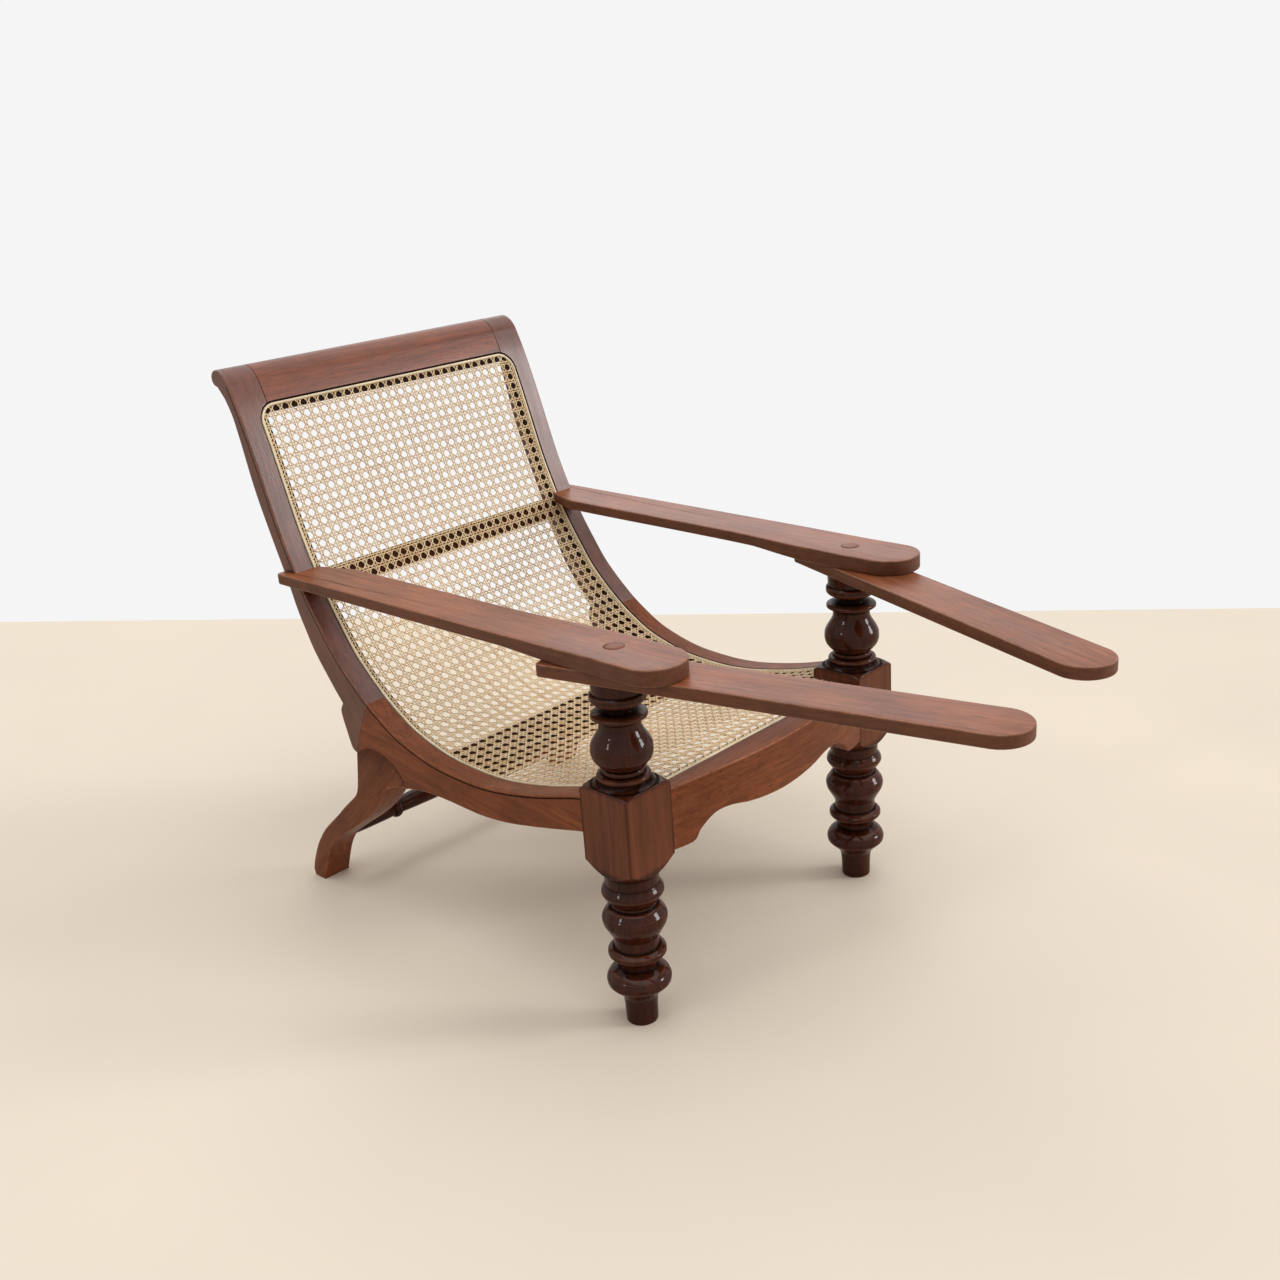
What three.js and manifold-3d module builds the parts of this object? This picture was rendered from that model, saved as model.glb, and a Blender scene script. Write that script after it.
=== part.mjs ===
// Planters chair: caned S-shaped seat and back between two shaped side frames, turned front legs,
// flat arms, and a leg-rest board under each arm that turns about the tenon of the front leg.
// Millimetres, +Z up. While it is built, the line between the two front leg axes is at y = 0, the
// chair faces -Y and the sitter's left is +X. The finished chair stands centred on the origin.

import * as THREE from 'three';
import { mergeVertices } from 'three/addons/utils/BufferGeometryUtils.js';
import Module from 'manifold-3d';

const wasm = await Module();
wasm.setup();

// Overall sizes
const overallHeight = 909;
const backReach = 834;
const legSpacing = 540;
const armHeight = 587;
const seatFrontHeight = 370;
const seatLowHeight = 321;

// Clearances and cuts
const gap = 0.3;
const overrun = 10;
const pivotClearance = 0.6;

// Front legs
const blockWidth = 90;
const blockHeight = 113;
const blockRise = 11;
const footRadius = 23.5;
const pivotRadius = 14;

// Side frames
const memberThickness = 53;
const railDepth = 53;
const scrollRadius = 14;
const tenonThickness = 16;
const tenonLength = 22;
const tenonHeight = 44;

// Cross members
const crestDepth = 58;
const crestShoulder = 5;
const crestTenonThickness = 9;
const crestTenonHeight = 30;
const frontRailBow = 22;
const frontRailBack = 6;
const frontRailDrop = 98;
const lumbarDrop = 38;
const lumbarDepth = 34;
const lumbarThickness = 18;
const slatFront = 296;
const slatWidth = 96;
const slatThickness = 20;
const stretcherHeight = 99;
const stretcherRadius = 17;
const stretcherTenonRadius = 9;

// Cane panel
const ledgeWidth = 18;
const caneRecess = 4;
const caneThickness = 2.4;
const caneFront = 23;
const splineWidth = 4;
const splineThickness = 3.5;
const splineMargin = 2.4;
const panelCornerRadius = 34;
const caneOpeningsAcross = 8;
const caneOpeningsAlong = 12;
const caneBarWidth = 24;

// Arms
const armWidth = 97;
const armThickness = 24;
const armBackThickness = 18;
const armNoseReach = 120;
const tongueLap = 29;
const armOffset = 2;

// Leg-rest boards
const boardLength = 570;
const boardTail = 105;
const boardWidth = 86;
const boardThickness = 19;
const boardTailCorner = 8;
const leftBoardAngle = 20;
const rightBoardAngle = 12.9;

// Dowels and pegs
const dowelRadius = 4;
const dowelLength = 40;
const dowelSpread = 24;
const pegLength = 42;

// Rounding of curves
const roundSides = 28;
const dowelSides = 12;
const seatStations = 72;
const curveStations = 46;
const shortStations = 14;
const arcSteps = 8;
const seatCurveSamples = 600;

// Sizes that follow from the ones above
const legAxis = legSpacing / 2;
const halfBlock = blockWidth / 2;
const outerFace = legAxis + halfBlock;
const innerFace = outerFace - memberThickness;
const crestHalfSpan = innerFace - crestShoulder;
const caneEdge = innerFace + ledgeWidth;
const backRise = overallHeight - seatLowHeight;
const frontRise = seatFrontHeight - seatLowHeight;
const blockTop = seatFrontHeight + blockRise;
const blockFoot = blockTop - blockHeight;
const armUnderside = armHeight - armThickness;
const boardTop = armUnderside - gap;
const boardUnderside = boardTop - boardThickness;
const legShoulder = boardUnderside - gap;
const panelTopHeight = overallHeight - crestDepth;
const lumbarHeight = armHeight - lumbarDrop;
const dowelPlane = legAxis + (innerFace - legAxis + halfBlock) / 2;

// Top line of the side frame in front of the lowest point of the seat:
// [share of backReach, share of frontRise]
const frontLineShares = [
  [-0.083, 1], [-0.024, 1], [0.024, 1], [0.062, 0.945], [0.108, 0.735],
  [0.156, 0.5], [0.21, 0.286], [0.264, 0.116], [0.314, 0.02],
];

// Behind it every place is [share of backReach, level share]: level 0 is the floor, level 1 the
// lowest point of the seat and level 2 the top of the crest.
const backLineShares = [
  [0.36, 1], [0.432, 1.005], [0.489, 1.019], [0.553, 1.047], [0.6, 1.082], [0.653, 1.134],
  [0.717, 1.218], [0.76, 1.3], [0.8, 1.389], [0.83, 1.474], [0.856, 1.56], [0.877, 1.645],
  [0.897, 1.73], [0.918, 1.815], [0.941, 1.9], [0.96, 1.959],
];
const stileBackShares = [
  [0.98, 1.922], [0.969, 1.895], [0.96, 1.867], [0.949, 1.813], [0.939, 1.757],
  [0.929, 1.701], [0.917, 1.646], [0.903, 1.592], [0.888, 1.537], [0.872, 1.481],
  [0.853, 1.412], [0.836, 1.342], [0.818, 1.287], [0.799, 1.233], [0.773, 1.18], [0.745, 1.128],
];
const tailShares = [
  [0.725, 1.094], [0.734, 1.071], [0.731, 1.041], [0.725, 1.012], [0.719, 0.969],
  [0.712, 0.925], [0.699, 0.907],
];
const scarfShares = [[0.689, 0.96], [0.677, 1.024], [0.659, 1.071]];
const scarfTopShare = 0.64;
const legJointShares = [
  [0.699, 0.907], [0.669, 0.953], [0.64, 0.969], [0.609, 0.956], [0.58, 0.925],
  [0.561, 0.879], [0.546, 0.816],
];
const legBackShares = [
  [0.546, 0.816], [0.566, 0.807], [0.588, 0.791], [0.612, 0.766], [0.626, 0.717],
  [0.651, 0.642], [0.686, 0.555], [0.727, 0.474], [0.766, 0.405], [0.797, 0.349],
  [0.83, 0.287], [0.851, 0.227], [0.866, 0.162], [0.88, 0.078], [0.892, 0],
];
const legFrontShares = [
  [0.926, 0], [0.93, 0.019], [0.93, 0.047], [0.922, 0.103], [0.911, 0.162], [0.897, 0.224],
  [0.881, 0.28], [0.861, 0.34], [0.833, 0.405], [0.802, 0.474], [0.776, 0.536], [0.745, 0.604],
  [0.727, 0.648], [0.717, 0.698], [0.709, 0.794],
];

// Underside of the seat rail: [share of backReach, share of railDepth below the top line]
const railUndersideShares = [
  [0.065, 1.08], [0.12, 1.05], [0.19, 1.01], [0.26, 1], [0.33, 0.98], [0.42, 0.98], [0.485, 1.16],
];

// Underside of the front rail: [share of its clear half length, share of frontRailDrop]
const bracketShares = [
  [1, 1], [0.84, 1], [0.78, 0.86], [0.7, 0.74], [0.62, 0.68], [0.5, 0.69], [0.34, 0.77],
  [0.17, 0.82], [0, 0.84],
];

// Turned shoulders above and below the block, each place [share of the half block, share of
// blockRise over the block's corner]
const upperShoulderShares = [[1.02, 0.55], [1.2, 0.4], [1.415, 0], [1.65, -1]];
const lowerShoulderShares = [[1.65, 0.5], [1.415, 0], [1.17, -0.9], [0.97, -1.65]];
const turningFootShare = 0.6;

// Turned profiles: [height share of the turned length, radius share of the half block]
const upperTurningShares = [
  [1, 0.83], [0.88, 0.82], [0.85, 0.893], [0.815, 0.896], [0.79, 0.85], [0.768, 0.73],
  [0.75, 0.57], [0.735, 0.45], [0.7, 0.48], [0.682, 0.56], [0.677, 0.8], [0.662, 0.89],
  [0.64, 0.89], [0.625, 0.78], [0.6, 0.665], [0.55, 0.662], [0.5, 0.725], [0.45, 0.83],
  [0.405, 0.92], [0.36, 0.975], [0.31, 0.985], [0.26, 0.955], [0.22, 0.88], [0.185, 0.775],
  [0.16, 0.64], [0.15, 0.62], [0.14, 0.68], [0.115, 0.69], [0.1, 0.66], [0.085, 0.84],
  [0.065, 0.862], [0.04, 0.83],
];
const lowerTurningShares = [
  [0.92, 0.9], [0.862, 0.87], [0.842, 0.94], [0.825, 0.995], [0.808, 1.012], [0.79, 0.965],
  [0.765, 0.86], [0.742, 0.74], [0.728, 0.745], [0.713, 0.865], [0.693, 0.95], [0.672, 1.03],
  [0.65, 1.062], [0.625, 1.042], [0.595, 0.96], [0.56, 0.84], [0.525, 0.748], [0.475, 0.735],
  [0.465, 0.84], [0.448, 0.95], [0.433, 0.955], [0.42, 0.91], [0.405, 0.75], [0.385, 0.65],
  [0.352, 0.62], [0.339, 0.72], [0.32, 0.9], [0.298, 1.01], [0.272, 1.062], [0.25, 1.045],
  [0.23, 0.95], [0.205, 0.79], [0.18, 0.66], [0.15, 0.575],
];

// Arm outline: [share of the run from leg axis to stile, share of armWidth from the leg axis]
const armOuterShares = [[0, 0.52], [0.25, 0.57], [0.5, 0.6], [0.75, 0.625], [1, 0.65]];
const armInnerShares = [
  [0.9, -0.258], [0.7, -0.29], [0.5, -0.31], [0.29, -0.35], [0.145, -0.433], [0, -0.48],
];
const armInnerEndShare = -0.02;
const armTaperShares = { start: 0.1, end: 0.25 };

// Rear stretcher: [share of the half span, share of stretcherRadius]
const stretcherShares = [
  [1, 0.82], [0.9, 0.86], [0.75, 0.88], [0.69, 0.86], [0.68, 1.06], [0.66, 1.14], [0.64, 1.06],
  [0.63, 0.86], [0.5, 0.93], [0.25, 1],
];

// Colours of the materials
const frameColour = 0x6b3a2a;
const armColour = 0x8a5a48;
const turnedColour = 0x4a2318;
const caneColour = 0xe6cf9f;
const splineColour = 0xeadfc0;
const dowelColour = 0x7a4a33;

function finish(color, roughness) {
  return new THREE.MeshStandardMaterial({ color, roughness, metalness: 0 });
}

const frameFinish = finish(frameColour, 0.42);
const armFinish = finish(armColour, 0.5);
const turnedFinish = finish(turnedColour, 0.25);
const caneFinish = finish(caneColour, 0.7);
const splineFinish = finish(splineColour, 0.6);
const dowelFinish = finish(dowelColour, 0.6);

// Solids and booleans

function solidOf(geometry) {
  const bare = geometry.clone();
  bare.deleteAttribute('normal');
  bare.deleteAttribute('uv');
  const merged = mergeVertices(bare);
  const mesh = new wasm.Mesh({
    numProp: 3,
    vertProperties: new Float32Array(merged.attributes.position.array),
    triVerts: new Uint32Array(merged.index.array),
  });
  return new wasm.Manifold(mesh);
}

function geometryOf(solid) {
  const mesh = solid.getMesh();
  const geometry = new THREE.BufferGeometry();
  geometry.setAttribute('position', new THREE.BufferAttribute(mesh.vertProperties, mesh.numProp));
  geometry.setIndex(new THREE.BufferAttribute(mesh.triVerts, 1));
  return geometry;
}

function cut(solid, ...tools) {
  return tools.reduce((rest, tool) => rest.subtract(tool), solid);
}

function join(...solids) {
  return solids.reduce((whole, solid) => whole.add(solid));
}

function point(a, b) {
  return new THREE.Vector2(a, b);
}

function extruded(outline, depth) {
  return new THREE.ExtrudeGeometry(new THREE.Shape(outline), { depth, bevelEnabled: false });
}

// An outline in (y, z), extruded across the chair from one x to another.
function prismAcross(outline, fromX, toX) {
  const axes = new THREE.Matrix4().makeBasis(
    new THREE.Vector3(0, 1, 0), new THREE.Vector3(0, 0, 1), new THREE.Vector3(1, 0, 0),
  );
  const low = Math.min(fromX, toX);
  const geometry = extruded(outline, Math.max(fromX, toX) - low).applyMatrix4(axes);
  return solidOf(geometry.translate(low, 0, 0));
}

// An outline in (x, z), extruded from one y to another.
function prismAlong(outline, fromY, toY) {
  const geometry = extruded(outline, toY - fromY).rotateX(Math.PI / 2);
  return solidOf(geometry.translate(0, toY, 0));
}

// An outline in (x, y), extruded upwards.
function prismUp(outline, fromZ, toZ) {
  return solidOf(extruded(outline, toZ - fromZ).translate(0, 0, fromZ));
}

function box(fromX, toX, fromY, toY, fromZ, toZ) {
  const outline = [point(fromX, fromY), point(toX, fromY), point(toX, toY), point(fromX, toY)];
  return prismUp(outline, fromZ, toZ);
}

// A profile of (radius, height) points turned about the Z axis.
function turned(profile, sides) {
  return new THREE.LatheGeometry(profile, sides).rotateX(Math.PI / 2);
}

function cylinder(radius, length, sides) {
  return new THREE.CylinderGeometry(radius, radius, length, sides);
}

// The outline moved inwards by a distance, or outwards when it is negative.
function inset(outline, distance) {
  const turn = Math.sign(THREE.ShapeUtils.area(outline));
  const count = outline.length;
  return outline.map((place, index) => {
    const arriving = place.clone().sub(outline[(index + count - 1) % count]).normalize();
    const leaving = outline[(index + 1) % count].clone().sub(place).normalize();
    const middle = arriving.clone().add(leaving).normalize();
    const inward = point(-middle.y, middle.x).multiplyScalar(turn);
    const edgeInward = point(-arriving.y, arriving.x).multiplyScalar(turn);
    return place.clone().addScaledVector(inward, distance / inward.dot(edgeInward));
  });
}

function arc(centre, radius, fromAngle, toAngle, steps = arcSteps) {
  return Array.from({ length: steps + 1 }, (_, index) => {
    const angle = THREE.MathUtils.lerp(fromAngle, toAngle, index / steps);
    return point(centre.x + radius * Math.cos(angle), centre.y + radius * Math.sin(angle));
  });
}

function smooth(points, stations) {
  return new THREE.SplineCurve(points).getSpacedPoints(stations);
}

// The line of the seat and back

function sidePoint([reachShare, levelShare]) {
  const below = Math.min(levelShare, 1) * seatLowHeight;
  const above = Math.max(levelShare - 1, 0) * backRise;
  return point(reachShare * backReach, below + above);
}

function frontPoint([reachShare, riseShare]) {
  return point(reachShare * backReach, seatLowHeight + riseShare * frontRise);
}

const seatLine = new THREE.SplineCurve([
  ...frontLineShares.map(frontPoint),
  ...backLineShares.map(sidePoint),
]);
seatLine.arcLengthDivisions = seatCurveSamples;

// The line is cut into straight steps, so that all that follows it keeps the same corners.
const stations = Array.from({ length: seatStations + 1 }, (_, index) => {
  const along = seatLine.getTangentAt(index / seatStations);
  return { place: seatLine.getPointAt(index / seatStations), up: point(-along.y, along.x) };
});

function offsetStation(index, offset) {
  const { place, up } = stations[index];
  return place.clone().addScaledVector(up, offset);
}

// A point of the stepped line, moved up out of the wood by an offset.
function linePlace(share, offset) {
  const step = Math.min(Math.floor(share * seatStations), seatStations - 1);
  const part = share * seatStations - step;
  return offsetStation(step, offset).lerp(offsetStation(step + 1, offset), part);
}

// Share of the line's length at which a test on the point first holds.
function lineShare(reached) {
  let low = 0;
  let high = 1;
  while (high - low > 1 / (seatCurveSamples * seatCurveSamples)) {
    const middle = (low + high) / 2;
    if (reached(linePlace(middle, 0))) {
      high = middle;
    } else {
      low = middle;
    }
  }
  return high;
}

function shareAtReach(reach) {
  return lineShare((place) => place.x >= reach);
}

function shareAtHeight(height) {
  return lineShare((place) => place.x > backReach / 2 && place.y >= height);
}

// The stepped line from one share to another, moved up out of the wood by an offset.
function offsetLine(fromShare, toShare, offset) {
  const between = stations
    .map((_, index) => index)
    .filter((index) => index > fromShare * seatStations && index < toShare * seatStations)
    .map((index) => offsetStation(index, offset));
  return [linePlace(fromShare, offset), ...between, linePlace(toShare, offset)];
}

function band(fromShare, toShare, topOffset, bottomOffset) {
  const top = offsetLine(fromShare, toShare, topOffset);
  const bottom = offsetLine(fromShare, toShare, bottomOffset);
  return [...top, ...bottom.reverse()];
}

const panelTopShare = shareAtHeight(panelTopHeight);
const scarfTop = linePlace(shareAtReach(scarfTopShare * backReach), 0);
const caneUnderside = -(caneRecess - gap);
const railStart = halfBlock + gap;

// Places across the chair are given for the left, and turned round for the right.
const sides = [{ name: 'left', sign: 1 }, { name: 'right', sign: -1 }];

const meshes = [];

function addMesh(name, geometry, material) {
  const mesh = new THREE.Mesh(geometry, material);
  mesh.name = name;
  meshes.push(mesh);
  return mesh;
}

function addSolid(name, solid, material) {
  return addMesh(name, geometryOf(solid), material);
}

// Recess for the cane: the whole panel with its round upper corners.

function panelCorner(sign, radius) {
  const centre = point(sign * (caneEdge - panelCornerRadius), panelTopHeight - panelCornerRadius);
  const turn = arc(centre, radius, 0, Math.PI / 2);
  return turn.map((place) => point(centre.x + sign * (place.x - centre.x), place.y));
}

function outsideCorner(sign, margin) {
  const far = sign * (caneEdge + overrun);
  const beyond = panelTopHeight + overrun;
  const outline = [
    point(far, panelTopHeight - panelCornerRadius),
    ...panelCorner(sign, panelCornerRadius - margin),
    point(sign * (caneEdge - panelCornerRadius), beyond),
    point(far, beyond),
  ];
  return prismAlong(outline, backReach / 2, backReach + overrun);
}

function panelSheet(margin, topOffset, bottomOffset) {
  const fromShare = shareAtReach(-caneFront + margin);
  const toShare = shareAtHeight(panelTopHeight - margin);
  const outline = band(fromShare, toShare, topOffset, bottomOffset);
  const whole = prismAcross(outline, margin - caneEdge, caneEdge - margin);
  return cut(whole, ...sides.map(({ sign }) => outsideCorner(sign, margin)));
}

const panelRecess = panelSheet(0, overrun, -caneRecess);

// Dowels: round pins in the plane of the side frame, each with its own bore.

function dowelAt(place, direction, x, radius, length) {
  const axis = new THREE.Vector3(0, direction.x, direction.y).normalize();
  const turn = new THREE.Quaternion().setFromUnitVectors(new THREE.Vector3(0, 1, 0), axis);
  return cylinder(radius, length, dowelSides).applyQuaternion(turn).translate(x, place.x, place.y);
}

function dowelPlaces(sign) {
  const scarf = scarfShares.map(sidePoint);
  const scarfMiddle = scarf[1].clone();
  const scarfAcross = scarf[2].clone().sub(scarf[0]).rotateAround(point(0, 0), -Math.PI / 2);
  const legMiddle = sidePoint(legJointShares[3]);
  const legAcross = point(0, 1);
  const joints = [
    { joint: 'scarf', place: scarfMiddle, direction: scarfAcross },
    { joint: 'rear_leg', place: legMiddle, direction: legAcross },
  ];
  return joints.flatMap(({ joint, place, direction }) => [1, -1].map((row) => ({
    name: `${joint}_dowel_${row > 0 ? 'outer' : 'inner'}`,
    place,
    direction,
    x: sign * (dowelPlane + row * dowelSpread / 2),
  })));
}

function dowelBores(sign) {
  return dowelPlaces(sign).map(({ place, direction, x }) => solidOf(
    dowelAt(place, direction, x, dowelRadius + gap, dowelLength + 2 * gap),
  ));
}

// Tenons: a bar outline in (y, z) that continues a cross member into the side frames.

function tenonPair(outline, shoulder, length, growth) {
  const shaped = inset(outline, -growth);
  return sides.map(({ sign }) => prismAcross(
    shaped, sign * (shoulder - overrun), sign * (shoulder + length + growth),
  ));
}

function leanBar(middle, along, thickness, height) {
  const across = point(-along.y, along.x).multiplyScalar(thickness / 2);
  const up = along.clone().multiplyScalar(height / 2);
  return [
    middle.clone().sub(up).sub(across),
    middle.clone().add(up).sub(across),
    middle.clone().add(up).add(across),
    middle.clone().sub(up).add(across),
  ];
}

// The scroll that ends the stiles and the crest: from the top of the front line over the roll to
// the first point of the back line.

const rollCentre = point(backReach, overallHeight - scrollRadius);
const lineTop = linePlace(1, 0);
const rollTop = point(backReach, overallHeight);
const stileBack = smooth(stileBackShares.map(sidePoint), curveStations / 2);

function scrollOutline() {
  const along = seatLine.getTangentAt(1);
  const lead = lineTop.clone().addScaledVector(along, scrollRadius);
  const swell = new THREE.CubicBezierCurve(
    lineTop, lead, point(backReach - scrollRadius, overallHeight), rollTop,
  );
  const roll = arc(rollCentre, scrollRadius, Math.PI / 2, -Math.PI / 2, shortStations);
  return [...swell.getPoints(arcSteps), ...roll.slice(1)];
}

function headOutline(fromShare, backPoints) {
  const front = offsetLine(fromShare, 1, 0);
  return [...front, ...scrollOutline().slice(1), ...backPoints];
}

const crestLowHeight = panelTopHeight - ledgeWidth;
const crestBack = stileBack.filter((place) => place.y > crestLowHeight);
const crestOutline = headOutline(shareAtHeight(crestLowHeight), crestBack);
const crestMiddle = linePlace(panelTopShare, 0).add(crestBack[0]).multiplyScalar(1 / 2);
const crestLean = seatLine.getTangentAt(panelTopShare);
const crestTenon = leanBar(crestMiddle, crestLean, crestTenonThickness, crestTenonHeight);

// Lumbar rail and seat slat, each a band of the seat line below the cane

const lumbarShares = [shareAtHeight(lumbarHeight), shareAtHeight(lumbarHeight + lumbarDepth)];
const slatShares = [shareAtReach(slatFront), shareAtReach(slatFront + slatWidth)];
const crossTop = -caneRecess;

function crossBand([fromShare, toShare], thickness, margin) {
  const length = seatLine.getLength();
  return band(
    fromShare + margin / length, toShare - margin / length,
    crossTop - margin, crossTop - thickness + margin,
  );
}

const lumbarOutline = crossBand(lumbarShares, lumbarThickness, 0);
const lumbarTenon = crossBand(lumbarShares, lumbarThickness, lumbarThickness / 4);
const slatOutline = crossBand(slatShares, slatThickness, 0);
const slatTenon = crossBand(slatShares, slatThickness, slatThickness / 4);

function crossMember(outline, tenonOutline, halfSpan, length) {
  const bar = prismAcross(outline, gap - halfSpan, halfSpan - gap);
  return join(bar, ...tenonPair(tenonOutline, halfSpan, length, 0));
}

function mortises(tenonOutline, halfSpan, length) {
  return tenonPair(tenonOutline, halfSpan, length, gap);
}

const crestMortises = mortises(crestTenon, crestHalfSpan, tenonLength);
const lumbarMortises = mortises(lumbarTenon, innerFace, tenonLength);
const slatMortises = mortises(slatTenon, innerFace, tenonLength);

// Arms

const armRun = linePlace(shareAtHeight(armHeight), 0).x;
const armEnd = armRun + tongueLap;
const tongueFace = outerFace + gap;

function armOutline(sign) {
  const noseRadius = armWidth / 2;
  const noseMiddle = point(legAxis + armOffset, noseRadius - armNoseReach);
  const outer = armOuterShares.map(
    ([runShare, widthShare]) => point(legAxis + widthShare * armWidth, runShare * armRun),
  );
  const inner = armInnerShares.map(
    ([runShare, widthShare]) => point(legAxis + widthShare * armWidth, runShare * armRun),
  );
  const outline = [
    ...arc(noseMiddle, noseRadius, -Math.PI, 0, 2 * arcSteps),
    ...smooth(outer, arcSteps),
    point(outer[outer.length - 1].x, armEnd),
    point(outerFace, armEnd),
    point(legAxis + armInnerEndShare * armWidth, armEnd),
    point(legAxis + armInnerEndShare * armWidth, armRun),
    ...smooth(inner, arcSteps),
  ];
  return outline.map((place) => point(sign * place.x, place.y));
}

function armSide() {
  const taperStart = armTaperShares.start * armRun;
  const taperEnd = armTaperShares.end * armRun;
  const thinUnderside = armHeight - armBackThickness;
  return [
    point(-armNoseReach - overrun, armUnderside),
    point(taperStart, armUnderside),
    point(taperEnd, thinUnderside),
    point(armEnd + overrun, thinUnderside),
    point(armEnd + overrun, armHeight),
    point(-armNoseReach - overrun, armHeight),
  ];
}

function pegLevel() {
  return armHeight - armBackThickness / 2;
}

function pegGeometry(sign, radius, length) {
  const tongueReach = legAxis + armOuterShares[armOuterShares.length - 1][1] * armWidth;
  const middle = tongueReach - pegLength / 2;
  return cylinder(radius, length, dowelSides)
    .rotateZ(Math.PI / 2)
    .translate(sign * middle, armRun + tongueLap / 2, pegLevel());
}

function addArm({ name, sign }, stileOutline) {
  const reach = legAxis + armWidth;
  const plank = prismUp(armOutline(sign), armUnderside - overrun, armHeight + overrun);
  const profile = prismAcross(armSide(), 0, sign * reach);
  const stileRoom = prismAcross(inset(stileOutline, -gap), 0, sign * tongueFace);
  const socket = solidOf(
    cylinder(pivotRadius + gap, armThickness + 2 * overrun, roundSides)
      .rotateX(Math.PI / 2)
      .translate(sign * legAxis, 0, armHeight - armThickness / 2),
  );
  const pegBore = solidOf(pegGeometry(sign, dowelRadius + gap, pegLength + 2 * gap));
  const whole = cut(plank.intersect(profile), stileRoom, socket, pegBore);
  addSolid(`armrest_${name}`, largestPiece(whole), armFinish);
}

function largestPiece(solid) {
  const pieces = solid.decompose();
  return pieces.reduce((best, piece) => (piece.volume() > best.volume() ? piece : best));
}

// Side frames

function stileOutlinePoints() {
  const head = headOutline(shareAtReach(scarfTop.x), stileBack);
  const tail = smooth(tailShares.map(sidePoint), shortStations);
  return [...head, ...tail, ...scarfShares.map(sidePoint)];
}

function railOutlinePoints() {
  const fromShare = shareAtReach(railStart);
  const top = offsetLine(fromShare, shareAtReach(scarfTop.x), 0);
  const scarf = scarfShares.map(sidePoint).reverse();
  const joint = smooth(legJointShares.map(sidePoint), shortStations);
  const underside = railUndersideShares.map(([reachShare, depthShare]) => {
    const above = linePlace(shareAtReach(reachShare * backReach), 0);
    return point(above.x, above.y - depthShare * railDepth);
  });
  const start = point(railStart, top[0].y - railUndersideShares[0][1] * railDepth);
  const lower = smooth([joint[joint.length - 1], ...underside.reverse(), start], shortStations);
  return [...top, ...scarf, ...joint, ...lower.slice(1)];
}

function rearLegOutlinePoints() {
  const joint = smooth(legJointShares.map(sidePoint), shortStations);
  const inner = smooth(legBackShares.map(sidePoint), curveStations / 2);
  const outer = smooth(legFrontShares.map(sidePoint), curveStations / 2);
  const sole = -gap / 2;
  return [...joint, ...inner.slice(1), ...outer].map(
    (place) => (place.y > 0 ? place : point(place.x, sole)),
  );
}

function railTenonGeometry(sign, growth) {
  const top = seatFrontHeight - railDepth / 4 + growth;
  const bottom = seatFrontHeight - railDepth / 4 - tenonHeight - growth;
  const fromX = sign * (legAxis - tenonThickness / 2 - growth);
  const toX = sign * (legAxis + tenonThickness / 2 + growth);
  return box(
    Math.min(fromX, toX), Math.max(fromX, toX),
    halfBlock - tenonLength - growth, railStart + overrun, bottom, top,
  );
}

function frontTenonGeometry(sign, growth) {
  const middle = (frontRailBack + halfBlock) / 2;
  const shoulder = legAxis - halfBlock;
  const fromX = sign * (shoulder - overrun);
  const toX = sign * (shoulder + tenonLength + growth);
  const top = seatFrontHeight - railDepth / 4 + growth;
  return box(
    Math.min(fromX, toX), Math.max(fromX, toX),
    -middle - tenonThickness / 2 - growth, -middle + tenonThickness / 2 + growth,
    top - tenonHeight - 2 * growth, top,
  );
}

// The middle of the rear leg at the stretcher's height.
function legMiddleReach() {
  const reachOf = (shares) => {
    const line = smooth(shares.map(sidePoint), curveStations);
    return line.reduce((nearest, place) => (
      Math.abs(place.y - stretcherHeight) < Math.abs(nearest.y - stretcherHeight) ? place : nearest
    )).x;
  };
  return (reachOf(legBackShares) + reachOf(legFrontShares)) / 2;
}

const stretcherReach = legMiddleReach();

function stretcherTenon(sign, growth) {
  const middle = innerFace + (tenonLength + growth - overrun) / 2;
  return solidOf(
    cylinder(stretcherTenonRadius + growth, tenonLength + growth + overrun, dowelSides)
      .rotateZ(Math.PI / 2)
      .translate(sign * middle, stretcherReach, stretcherHeight),
  );
}

function sidePiece(outline, sign) {
  return prismAcross(inset(outline, gap / 2), sign * innerFace, sign * outerFace);
}

// The head of the stile is wider than the rest: it runs in to the end of the crest rail.
function stileHead(outline, sign) {
  const headRoom = box(
    -outerFace, outerFace, 0, backReach + 2 * scrollRadius, crestLowHeight, overallHeight + overrun,
  );
  const wide = prismAcross(inset(outline, gap / 2), sign * crestHalfSpan, sign * outerFace);
  return wide.intersect(headRoom);
}

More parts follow.
